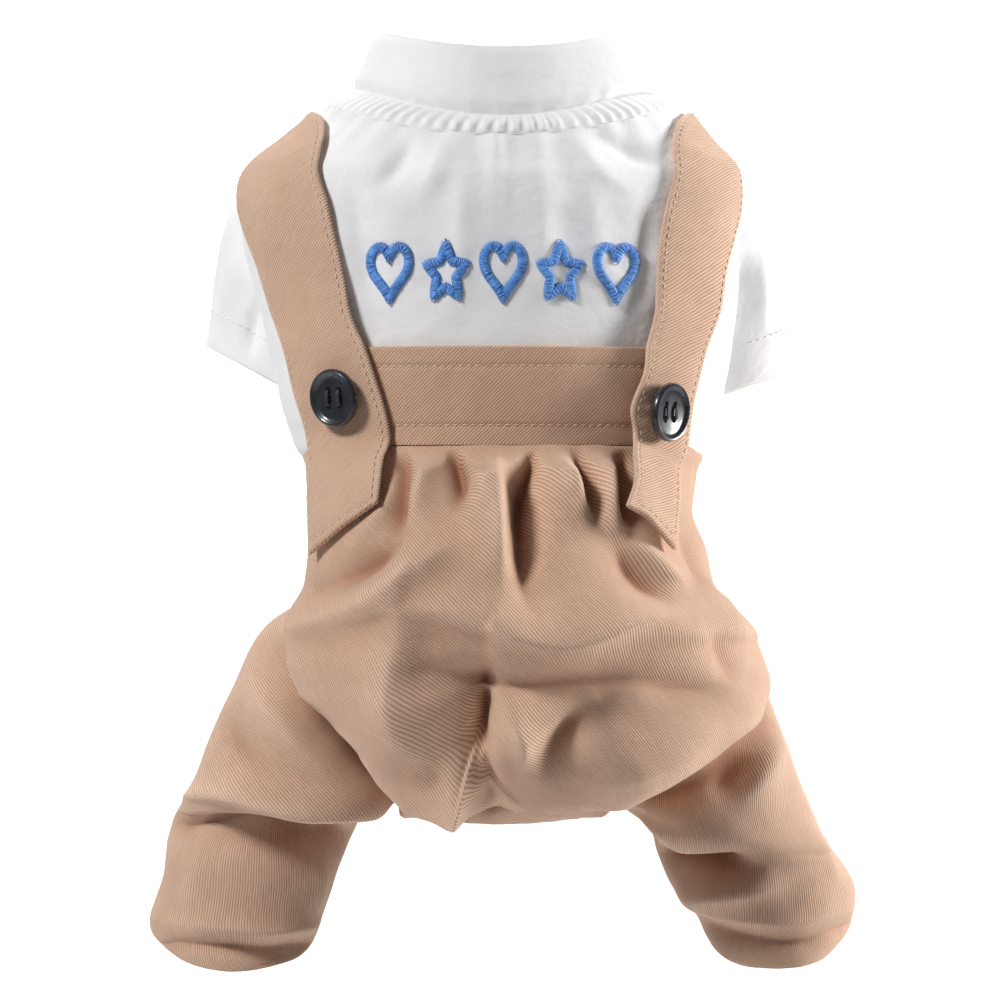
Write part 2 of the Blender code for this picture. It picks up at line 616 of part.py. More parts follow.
def seat_angles():
    """Angles round the seat, closer together across the back, where the folds are."""
    back = np.linspace(-HALF_TURN / 2, HALF_TURN / 2, SEAT_BACK_SEGMENTS + 1)
    belly = np.linspace(HALF_TURN / 2, 3 * HALF_TURN / 2, SEAT_BELLY_SEGMENTS + 1)[1:-1]
    return np.concatenate([back, belly])


def tail_share():
    return 1 - (TAIL_CASING_HEIGHT + SEAM_GAP) / SEAT_DROP


def seat_drops():
    """Where the rows of the seat lie, in shares of SEAT_DROP."""
    return [*(row.drop for row in SEAT_ROWS if row.drop < tail_share() - 0.02), tail_share()]


def trousers_seat():
    """The gathered seat, from the waist seam down to the tail casing."""
    angle, drop = np.meshgrid(seat_angles(), seat_drops())
    return cloth_object("trousers_seat", seat(angle, drop), TWILL_CLOTH, SAND_TWILL)


def tail_casing():
    """The elastic casing round the tail opening, ribbed all round."""
    angle, share = np.meshgrid(turn(2 * TAIL_RIBS), [0.0, 0.5, 1.0])
    start = tail_share() + SEAM_GAP / SEAT_DROP
    crest = (np.arange(2 * TAIL_RIBS) % 2)[None, :] * np.array([0.4, 1.0, 0.6])[:, None]
    points = seat(angle, start + (1 - start) * share)
    outwards = np.stack([np.sin(angle), -np.cos(angle), 0 * angle], axis=-1)
    points = points + RIB_HEIGHT * crest[..., None] * outwards
    return cloth_object("tail_casing", points, TWILL_CLOTH, SAND_TWILL)


def legs(seat_object):
    """The two legs, sewn over the openings that their bores make in the seat."""
    angle, drop = np.meshgrid(seat_angles(), [*seat_drops(), 1.0])
    hips = closed_body("hip_cutter", seat(angle, drop), SEAM_GAP + RIB_HEIGHT / 2)
    for name, side, rows in (("leg_left", -1, LEFT_LEG_ROWS), ("leg_right", 1, RIGHT_LEG_ROWS)):
        place = np.arange(len(rows))
        angle, along = np.meshgrid(turn(LIMB_SEGMENTS), place)
        obj = cloth_object(name, leg(rows, side, angle, along), TWILL_CLOTH, SAND_TWILL)
        cut(obj, hips, "hips")
        angle, along = np.meshgrid(turn(LIMB_SEGMENTS), place[:6])
        bore = leg(rows, side, angle, along, -TWILL_CLOTH)
        cutter = add_object(name + "_bore", capped_mesh(name + "_bore", bore))
        cut(seat_object, cutter, name)


def band():
    """The twill band across the back, between and under the straps."""
    columns = 17
    angle, share = np.meshgrid(np.linspace(-BAND_HALF_ANGLE, BAND_HALF_ANGLE, columns), np.linspace(0, 1, 4))
    points = trunk(angle, 1 - (1 - share) * BAND_HEIGHT / WAIST_DROP)
    outwards = np.stack([np.sin(angle), -np.cos(angle), 0 * angle], axis=-1)
    points = points + (SEAM_GAP + BAND_CLOTH) * outwards
    return cloth_object("waist_band", points, BAND_CLOTH, SAND_TWILL, around=False, normal=outwards)


def strap_surface(drop, angle):
    """The body under a strap: the shirt down to the waist seam, and the seat past it."""
    above = trunk(angle, np.minimum(drop, 1))
    below = seat(angle, np.clip((drop - 1) * FLAP_LENGTH / SEAT_DROP, 0, 1))
    past = (drop > 1)[..., None]
    rise = (SEAM_GAP + TWILL_CLOTH) * np.stack([np.sin(angle), -np.cos(angle), 0 * angle], axis=-1)
    return np.where(past, below - rise, above)


def strap_points(side, along, across):
    """The outside of a strap at places along it, counted in rows, and across it from inner edge to outer."""
    rows = (LEFT_STRAP_ROWS if side < 0 else RIGHT_STRAP_ROWS) + BELLY_STRAP_ROWS
    row = smooth(numbered(rows), "row", along)
    drop = row.inner_drop + (row.outer_drop - row.inner_drop) * across
    angle = side * np.radians(row.inner_angle + (row.outer_angle - row.inner_angle) * across)
    lift = row.inner_lift + (row.outer_lift - row.inner_lift) * across
    points = strap_surface(drop, angle)
    rise = SEAM_GAP + STRAP_CLOTH + lift * (BAND_CLOTH + SEAM_GAP)
    return points + rise[..., None] * outward_normals(points)


STRAP_COLUMNS = 5
SHOULDER_ROW = 13


def strap_places():
    """Rows along a strap, closer together over the shoulder, where it bends most."""
    last = len(LEFT_STRAP_ROWS + BELLY_STRAP_ROWS) - 1
    return np.unique(np.concatenate([np.arange(last + 1), np.arange(SHOULDER_ROW - 3, SHOULDER_ROW + 4) - 0.5]))


def straps():
    for name, side in (("strap_left", -1), ("strap_right", 1)):
        places = strap_places()
        across, along = np.meshgrid(np.linspace(0, 1, STRAP_COLUMNS), places)
        cloth_object(name, strap_points(side, along, across), STRAP_CLOTH, SAND_TWILL, around=False)


def strap_frame(side, across, drop):
    """The place on a strap this far across it and down from the neck seam, and the way its outside faces."""
    spread, along = np.meshgrid([across - 0.1, across, across + 0.1], np.linspace(2, 8, 121))
    points = strap_points(side, along, spread)
    nearest = int(np.argmin(np.abs(points[1:-1, 1, 2] + drop))) + 1
    run = points[nearest + 1, 1] - points[nearest - 1, 1]
    over = points[nearest, 2] - points[nearest, 0]
    normal = Vector(np.cross(run, over)).normalized()
    middle = Vector(points[nearest, 1])
    if normal.dot(Vector((middle.x, middle.y, 0))) < 0:
        normal = -normal
    return middle, normal


def buttons():
    """Four-hole buttons with a raised rim, each seated on its strap."""
    rim = BUTTON_RADIUS - BUTTON_RIM_WIDTH
    dish = BUTTON_THICKNESS - BUTTON_DISH_DEPTH
    edge = BUTTON_THICKNESS * 0.35
    profile = [
        (0.0, 0.0),
        (BUTTON_RADIUS * 0.80, 0.0),
        (BUTTON_RADIUS, edge),
        (BUTTON_RADIUS * 0.985, BUTTON_THICKNESS * 0.85),
        (BUTTON_RADIUS * 0.93, BUTTON_THICKNESS),
        (rim, dish + BUTTON_DISH_DEPTH * 0.25),
        (rim * 0.9, dish),
        (0.0, dish),
    ]
    for name, side, place_across, drop, turn_out in (
        ("button_left", -1, LEFT_BUTTON_ACROSS, LEFT_BUTTON_DROP, LEFT_BUTTON_TURN),
        ("button_right", 1, RIGHT_BUTTON_ACROSS, RIGHT_BUTTON_DROP, RIGHT_BUTTON_TURN),
    ):
        work = bmesh.new()
        line = [work.verts.new((radius, 0.0, height)) for radius, height in profile]
        edges = [work.edges.new(pair) for pair in zip(line, line[1:])]
        bmesh.ops.spin(
            work, geom=line + edges, cent=(0, 0, 0), axis=(0, 0, 1), angle=FULL_TURN, steps=BUTTON_SEGMENTS
        )
        bmesh.ops.remove_doubles(work, verts=work.verts, dist=SEAM_GAP / 100)
        bmesh.ops.recalc_face_normals(work, faces=work.faces)
        mesh = bpy.data.meshes.new(name)
        work.to_mesh(mesh)
        work.free()
        mesh.shade_smooth()
        mesh.set_sharp_from_angle(angle=math.radians(35))
        obj = add_object(name, mesh, BUTTON_BLACK)
        holes = bmesh.new()
        for across in (-0.5, 0.5):
            for along in (-0.5, 0.5):
                place = Vector((across, along, 0.0)) * BUTTON_HOLE_SPACING
                place.z = BUTTON_THICKNESS / 2
                bmesh.ops.create_cone(
                    holes,
                    cap_ends=True,
                    segments=6,
                    radius1=BUTTON_HOLE_RADIUS,
                    radius2=BUTTON_HOLE_RADIUS,
                    depth=2 * BUTTON_THICKNESS,
                    matrix=Matrix.Translation(place),
                )
        hole_mesh = bpy.data.meshes.new(name + "_holes")
        holes.to_mesh(hole_mesh)
        holes.free()
        cutter = add_object(name + "_holes", hole_mesh)
        cutter.parent = obj
        cut(obj, cutter, "holes")
        middle, normal = strap_frame(side, place_across, drop)
        normal = Matrix.Rotation(side * turn_out, 3, "Z") @ normal
        lift = SEAM_GAP + BUTTON_TURN_LIFT * BUTTON_RADIUS * math.sin(turn_out)
        upright = Vector((0, 0, 1)) - normal * normal.z
        upright.normalize()
        turned = Matrix((upright.cross(normal), upright, normal)).transposed()
        obj.matrix_world = Matrix.Translation(middle + normal * lift) @ turned.to_4x4()


def heart_outline(count):
    """Points round a heart one unit high and about one wide, from the classic sine curve."""
    t = turn(count)
    x = 16 * np.sin(t) ** 3
    z = 13 * np.cos(t) - 5 * np.cos(2 * t) - 2 * np.cos(3 * t) - np.cos(4 * t)
    return np.stack([x / 32, (z + 2.5) / 29], axis=-1)


def star_outline(points):
    """Points round a five-pointed star one unit high."""
    t = turn(2 * points)
    radius = np.where(np.arange(2 * points) % 2, 0.26, 0.55)
    return np.stack([radius * np.sin(t), radius * np.cos(t)], axis=-1)


def motif(name, outline, middle):
    """A stitched outline standing out of the shirt's back: a ring between two sizes of the same shape."""
    size = np.array([MOTIF_WIDTH, MOTIF_HEIGHT])
    edges = np.stack([outline * (size - 2 * MOTIF_STROKE), outline * size])
    x = middle + edges[..., 0]
    drop = (MOTIF_DROP - edges[..., 1]) / WAIST_DROP
    width, _, _, row = trunk_sizes(drop)
    angle = np.arcsin((x + SHOULDER_LEAN * row.lean) / width)
    outwards = np.stack([np.sin(angle), -np.cos(angle), 0 * angle], axis=-1)
    points = trunk(angle, drop) + (SEAM_GAP + THREAD_HEIGHT) * outwards
    return cloth_object(name, points, THREAD_HEIGHT, THREAD_BLUE, normal=outwards)


def motifs():
    heart, star = heart_outline(14), star_outline(5)
    for number in range(5):
        name, outline = (f"stitched_star_{number}", star) if number % 2 else (f"stitched_heart_{number}", heart)
        motif(name, outline, (number - 2) * MOTIF_PITCH)


def main():
    clear_scene()
    shirt_body = shirt()
    neck_casing()
    collar()
    sleeves(shirt_body)
    legs(trousers_seat())
    tail_casing()
    band()
    straps()
    buttons()
    motifs()


main()
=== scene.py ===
"""The looks of a small dog's jumpsuit: its cloth, seams, stitches, embroidery and buttons, and the studio.

Metres, +Z towards the neck, -Y out of the dog's back, +X that side's right. Angles run round the body from
the middle of the back towards +X, and drops are measured down from the neck seam. Folds are placed where the
camera below sees them, in thousandths of the picture's side, across from its left and down from its top.
"""

import math
from collections import namedtuple

import bmesh
import bpy
import numpy as np
from mathutils import Matrix, Vector
from mathutils.bvhtree import BVHTree


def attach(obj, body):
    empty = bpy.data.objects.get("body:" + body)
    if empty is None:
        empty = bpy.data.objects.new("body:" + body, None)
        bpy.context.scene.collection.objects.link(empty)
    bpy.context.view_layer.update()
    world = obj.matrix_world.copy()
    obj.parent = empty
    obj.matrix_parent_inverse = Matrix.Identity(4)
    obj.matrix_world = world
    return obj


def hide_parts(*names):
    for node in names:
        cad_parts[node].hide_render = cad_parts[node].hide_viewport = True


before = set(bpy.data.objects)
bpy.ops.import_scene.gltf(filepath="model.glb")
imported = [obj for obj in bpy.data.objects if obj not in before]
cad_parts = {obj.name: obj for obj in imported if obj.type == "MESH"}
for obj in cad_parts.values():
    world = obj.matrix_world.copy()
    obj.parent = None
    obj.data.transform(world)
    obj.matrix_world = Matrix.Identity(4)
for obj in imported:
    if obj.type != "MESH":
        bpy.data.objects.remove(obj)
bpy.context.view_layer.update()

HALF_TURN = math.pi
FULL_TURN = 2 * math.pi
MM = 0.001

# The camera looks along +Y, level with the outfit's middle. FRAME_WIDTH is what it sees at the body's axis.
CAMERA_DISTANCE = 1.200
CAMERA_ACROSS = -0.00095
CAMERA_HEIGHT = -0.1207
FRAME_WIDTH = 0.316
SENSOR_WIDTH = 36.0
PICTURE = 1000.0

# Cloth and clearances
SHIRT_CLOTH = 0.0016
TWILL_CLOTH = 0.0018
COLLAR_CLOTH = 0.0024
STRAP_CLOTH = 0.0022
BAND_CLOTH = 0.0020
SEAM_GAP = 0.0004

# Shirt
NECK_HALF_WIDTH = 0.0465
NECK_BACK = 0.0400
NECK_BELLY = 0.0440
NECK_SIDE_RISE = 0.0095
NAPE_DROP = 0.0032
THROAT_DROP = 0.0080
SHOULDER_LEAN = 0.0040
CHEST_HALF_WIDTH = 0.0785
CHEST_BACK = 0.0530
CHEST_BELLY = 0.0660
WAIST_HALF_WIDTH = 0.0600
WAIST_BACK = 0.0495
WAIST_BELLY = 0.0590
WAIST_DROP = 0.1040
NECK_CASING_HEIGHT = 0.0068
NECK_CASING_TAPER = 0.45
# Gathers once round: of the cloth on both sides of the casing, and of the casing itself
NECK_RIBS = 32
NECK_GATHERS = 80
RIB_HEIGHT = 0.0009

# Collar
COLLAR_HEIGHT = 0.0212
COLLAR_TOP_HALF_WIDTH = 0.0405
COLLAR_TOP_BACK = 0.0350
COLLAR_TOP_BELLY = 0.0390
COLLAR_SIDE_LOSS = 0.0041

# Sleeves
SLEEVE_RADIUS = 0.0235
SLEEVE_DROP = 0.0840
SLEEVE_REACH = 0.0750
SLEEVE_FORWARD = 0.0310
SLEEVE_HEM_SHARE = 0.16
# The armholes end this far below the neck seam.
ARMPIT_DROP = 0.0560

# Band, straps and buttons
# How much of the band shows above the seat
BAND_SHOWN = 0.0295
BAND_HALF_ANGLE = math.radians(50)
FLAP_LENGTH = 0.0330
BUTTON_RADIUS = 0.0090
BUTTON_THICKNESS = 0.0030
BUTTON_RIM_WIDTH = 0.0018
BUTTON_DISH_DEPTH = 0.0011
BUTTON_HOLE_RADIUS = 0.0011
BUTTON_HOLE_SPACING = 0.0044
# Each button's place: across its strap from the inner edge, down from the neck seam, and how far it turns
# to the side from lying flat on the strap.
LEFT_BUTTON_ACROSS = 0.40
LEFT_BUTTON_DROP = 0.0895
LEFT_BUTTON_TURN = math.radians(4)
RIGHT_BUTTON_ACROSS = 0.40
RIGHT_BUTTON_DROP = 0.0935
RIGHT_BUTTON_TURN = math.radians(12)
BUTTON_TURN_LIFT = 0.75

# Trousers
SEAT_DROP = 0.1190
HIP_LEFT = 0.0675
HIP_RIGHT = 0.0845
SEAT_BACK = 0.0830
SEAT_BELLY = 0.0660
WAIST_SIDE_DROP = 0.0045
TAIL_HALF_WIDTH = 0.0335
TAIL_BACK = 0.0380
TAIL_BELLY = 0.0340
TAIL_SIDE_RISE = 0.0060
TAIL_CASING_HEIGHT = 0.0065
TAIL_RIBS = 24
LEG_DROP = 0.2580
LEG_RADIUS = 0.0300
LEG_REACH = 0.0850

# Stitched motifs
MOTIF_HEIGHT = 0.0195
MOTIF_WIDTH = 0.0150
MOTIF_PITCH = 0.0172
MOTIF_STROKE = 0.0032
MOTIF_DROP = 0.0520


def rows_of(kind, rows):
    """A table whose rows are all of one kind."""
    return [kind(*row) for row in rows]


# The trunk from the neck seam to the shirt's hem. drop is a share of WAIST_DROP; neck, chest and waist say
# how much of each of the three named sections the row holds; lift is a share of the neck seam's own rise
# and fall, and lean a share of SHOULDER_LEAN.
TrunkRow = namedtuple("TrunkRow", "drop neck chest waist lift lean")
TRUNK_ROWS = rows_of(TrunkRow, [
    (0.00, 1.00, 0.00, 0.00, 1.00, 0.0),
    (0.035, 0.72, 0.28, 0.00, 0.84, 0.1),
    (0.075, 0.60, 0.40, 0.00, 0.74, 0.2),
    (0.15, 0.32, 0.68, 0.00, 0.60, 0.6),
    (0.20, 0.09, 0.90, 0.01, 0.45, 0.9),
    (0.27, 0.00, 0.98, 0.02, 0.30, 1.0),
    (0.38, 0.00, 0.96, 0.04, 0.10, 0.9),
    (0.50, 0.00, 0.89, 0.11, 0.00, 0.6),
    (0.63, 0.00, 0.77, 0.23, 0.00, 0.4),
    (0.75, 0.00, 0.65, 0.35, 0.00, 0.2),
    (0.86, 0.00, 0.52, 0.48, 0.00, 0.1),
    (0.95, 0.00, 0.36, 0.64, 0.00, 0.0),
    (1.03, 0.00, 0.10, 0.90, 0.00, 0.0),
    (1.07, 0.00, 0.00, 0.94, 0.00, 0.0),
])

# The trousers' seat from the waist seam to the tail opening. drop is a share of SEAT_DROP; tail blends the
# waist section into the tail opening's; left, right, back and belly run from 0 there to 1 at the hip's sizes.
SeatRow = namedtuple("SeatRow", "drop tail left right back belly")
SEAT_ROWS = rows_of(SeatRow, [
    (0.00, 0.0, 0.00, 0.00, 0.00, 0.00),
    (0.05, 0.0, -0.50, -0.17, 0.22, 0.20),
    (0.13, 0.0, -0.80, -0.20, 0.46, 0.40),
    (0.24, 0.0, -0.75, 0.02, 0.74, 0.70),
    (0.34, 0.0, -0.30, 0.17, 0.90, 0.90),
    (0.41, 0.0, 0.90, 0.52, 0.97, 1.00),
    (0.47, 0.0, 1.00, 0.80, 1.00, 1.00),
    (0.53, 1.0, 1.00, 0.95, 1.00, 0.95),
    (0.62, 1.0, 0.87, 1.00, 0.97, 0.88),
    (0.70, 1.0, 0.60, 0.94, 0.88, 0.78),
    (0.77, 1.0, 0.35, 0.76, 0.77, 0.66),
    (0.84, 1.0, 0.18, 0.51, 0.61, 0.52),
    (0.91, 1.0, 0.07, 0.24, 0.38, 0.32),
    (0.96, 1.0, 0.02, 0.08, 0.18, 0.15),
    (1.00, 1.0, 0.00, 0.00, 0.00, 0.00),
])

# Folds that stand out of or sink into the seat, each a line bent at its middle. across is a share of
# HIP_RIGHT, down a share of SEAT_DROP, width a share of HIP_RIGHT and height a share of SEAT_BACK.
Fold = namedtuple("Fold", "across_0 down_0 across_1 down_1 across_2 down_2 width height")
SEAT_FOLDS = rows_of(Fold, [
    (-0.25, 0.00, -0.28, 0.12, -0.37, 0.30, 0.085, 0.040),
    (-0.07, 0.00, -0.05, 0.15, -0.20, 0.38, 0.100, 0.050),
    (0.05, 0.00, 0.04, 0.06, 0.02, 0.11, 0.050, 0.026),
    (0.18, 0.00, 0.22, 0.14, 0.30, 0.26, 0.090, 0.044),
    (0.33, 0.00, 0.39, 0.14, 0.42, 0.34, 0.080, 0.044),
    (-0.16, 0.00, -0.16, 0.10, -0.15, 0.17, 0.055, -0.040),
    (0.03, 0.06, 0.05, 0.25, 0.06, 0.42, 0.080, -0.060),
    (0.27, 0.03, 0.30, 0.12, 0.33, 0.20, 0.060, -0.036),
    (-0.33, 0.18, -0.48, 0.27, -0.64, 0.36, 0.110, -0.060),
    (-0.45, 0.50, -0.22, 0.46, 0.04, 0.52, 0.130, 0.050),
    (0.05, 0.56, 0.38, 0.53, 0.80, 0.55, 0.150, 0.050),
    (-0.08, 1.00, -0.08, 0.80, -0.03, 0.64, 0.130, -0.130),
    (-0.36, 0.54, -0.32, 0.75, -0.17, 0.98, 0.140, 0.080),
    (0.52, 0.64, 0.24, 0.78, 0.05, 0.92, 0.220, 0.060),
])

# Sleeves, from inside the chest to the hem. out, ahead and drop are shares of SLEEVE_REACH,
# SLEEVE_FORWARD and SLEEVE_DROP; girth is a share of SLEEVE_RADIUS; tilt raises the outer side, in degrees.
LimbRow = namedtuple("LimbRow", "out ahead drop girth depth tilt dip")
LEFT_SLEEVE_ROWS = rows_of(LimbRow, [
    (0.68, 0.75, 0.32, 0.40, 0.50, 60, 0.0),
    (0.90, 0.80, 0.40, 0.66, 0.72, 54, 0.0),
    (0.98, 0.86, 0.50, 0.86, 0.86, 46, 0.0),
    (0.98, 0.92, 0.63, 0.96, 0.95, 36, 0.0),
    (0.99, 0.97, 0.79, 0.98, 0.98, 30, 0.0),
    (1.00, 1.00, 0.97, 1.02, 1.02, 28, 0.0),
])
RIGHT_SLEEVE_ROWS = rows_of(LimbRow, [
    (0.62, 0.75, 0.34, 0.40, 0.50, 60, 0.0),
    (0.84, 0.80, 0.42, 0.62, 0.74, 56, 0.0),
    (0.90, 0.84, 0.51, 0.80, 0.85, 50, 0.0),
    (0.92, 0.88, 0.60, 0.93, 0.93, 40, 0.0),
    (0.955, 0.92, 0.73, 0.98, 0.96, 30, 0.0),
    (0.97, 0.96, 0.85, 1.00, 0.99, 22, 0.0),
    (0.955, 1.00, 1.02, 1.02, 1.02, 18, 0.0),
])

# Legs, from inside the seat to the cuff's opening. out, ahead and drop are shares of LEG_REACH, LEG_RADIUS
# and LEG_DROP; girth and depth are shares of LEG_RADIUS; dip lowers the side at the back, a share of it too.
LEFT_LEG_ROWS = rows_of(LimbRow, [
    (0.48, 0.30, 0.640, 0.84, 1.05, 34, 0.00),
    (0.60, 0.26, 0.675, 0.95, 1.12, 27, 0.00),
    (0.68, 0.20, 0.745, 1.04, 1.12, 19, 0.00),
    (0.74, 0.15, 0.805, 1.09, 1.12, 9, 0.02),
    (0.80, 0.14, 0.836, 1.08, 1.10, 2, 0.06),
    (0.87, 0.22, 0.852, 1.01, 0.98, -1, 0.08),
    (0.91, 0.28, 0.880, 0.98, 0.92, -1, 0.04),
    (0.95, 0.28, 0.930, 0.915, 0.90, 0, 0.03),
    (1.00, 0.28, 0.980, 0.91, 0.90, 1, 0.06),
    (1.01, 0.28, 0.999, 0.87, 0.86, 2, 0.16),
    (1.00, 0.28, 1.008, 0.76, 0.78, 2, 0.26),
    (1.00, 0.28, 1.000, 0.62, 0.62, 2, 0.22),
])
RIGHT_LEG_ROWS = rows_of(LimbRow, [
    (0.46, 0.30, 0.655, 0.86, 1.05, 34, 0.00),
    (0.58, 0.26, 0.695, 0.98, 1.12, 26, 0.00),
    (0.65, 0.20, 0.765, 1.08, 1.12, 14, 0.00),
    (0.72, 0.15, 0.825, 1.12, 1.12, 2, 0.02),
    (0.82, 0.15, 0.862, 1.09, 1.08, -9, 0.04),
    (0.89, 0.22, 0.885, 0.97, 0.98, -7, 0.06),
    (0.925, 0.28, 0.910, 0.98, 0.93, -2, 0.04),
    (0.98, 0.28, 0.945, 0.95, 0.92, 3, 0.04),
    (1.02, 0.28, 0.973, 0.84, 0.90, 4, 0.06),
    (1.03, 0.28, 0.996, 0.77, 0.86, 4, 0.16),
    (1.02, 0.28, 1.006, 0.66, 0.78, 3, 0.26),
    (1.02, 0.28, 1.000, 0.54, 0.60, 3, 0.22),
])

# A strap from the free end of its flap, up the back, over the shoulder and down the belly, by its inner and
# outer edges. Drops are shares of WAIST_DROP down to the waist seam at 1, and go on down the seat in shares
# of FLAP_LENGTH; angles are in degrees round the body; lifts are shares of what the band adds under a strap.
StrapRow = namedtuple("StrapRow", "inner_drop inner_angle inner_lift outer_drop outer_angle outer_lift")
LEFT_STRAP_ROWS = rows_of(StrapRow, [
    (1.57, 33, 2.6, 2.02, 60, 2.0),
    (1.38, 32, 2.3, 1.66, 60, 1.8),
    (1.18, 31, 1.8, 1.36, 61, 1.6),
    (1.00, 30, 1.4, 1.13, 61, 1.4),
    (0.92, 29, 1.2, 0.95, 60, 1.2),
    (0.825, 30, 1.2, 0.84, 60, 1.2),
    (0.715, 32, 1.2, 0.715, 61, 1.1),
    (0.605, 35, 0.8, 0.60, 65, 0.6),
    (0.46, 36, 0.2, 0.45, 70, 0.1),
    (0.285, 38, 0.3, 0.32, 78, 0.3),
    (0.16, 48, 0.3, 0.25, 83, 0.3),
    (0.085, 62, 0.2, 0.215, 88, 0.2),
])
RIGHT_STRAP_ROWS = rows_of(StrapRow, [
    (1.69, 29, 3.4, 2.04, 44, 2.4),
    (1.42, 31, 3.2, 1.58, 53, 1.8),
    (1.18, 32, 2.9, 1.27, 55, 1.4),
    (0.99, 33, 2.6, 1.02, 56, 1.2),
    (0.885, 31, 2.6, 0.88, 54, 1.1),
    (0.785, 34, 2.3, 0.78, 55, 1.1),
    (0.71, 35, 1.7, 0.70, 57, 1.1),
    (0.605, 38, 0.9, 0.595, 63, 0.6),
    (0.48, 39, 0.2, 0.47, 67, 0.1),
    (0.30, 42, 0.3, 0.32, 76, 0.3),
    (0.16, 50, 0.3, 0.24, 81, 0.3),
    (0.085, 63, 0.2, 0.205, 87, 0.2),
])
BELLY_STRAP_ROWS = rows_of(StrapRow, [
    (0.060, 80, 0.2, 0.19, 92, 0.2),
    (0.056, 100, 0.3, 0.175, 99, 0.3),
    (0.07, 122, 0.4, 0.17, 108, 0.4),
    (0.13, 143, 0.4, 0.19, 122, 0.4),
    (0.28, 158, 0.3, 0.29, 137, 0.3),
    (0.50, 166, 0.2, 0.50, 143, 0.2),
    (0.75, 168, 0.2, 0.75, 145, 0.2),
    (0.985, 168, 0.3, 0.985, 143, 0.4),
])

CollarRow = namedtuple("CollarRow", "height top bulge")
COLLAR_ROWS = rows_of(CollarRow, [
    (0.00, 0.00, 0.00),
    (0.25, 0.34, 0.05),
    (0.60, 0.74, 0.04),
    (0.92, 0.97, 0.02),
    (1.00, 1.03, -0.01),
])

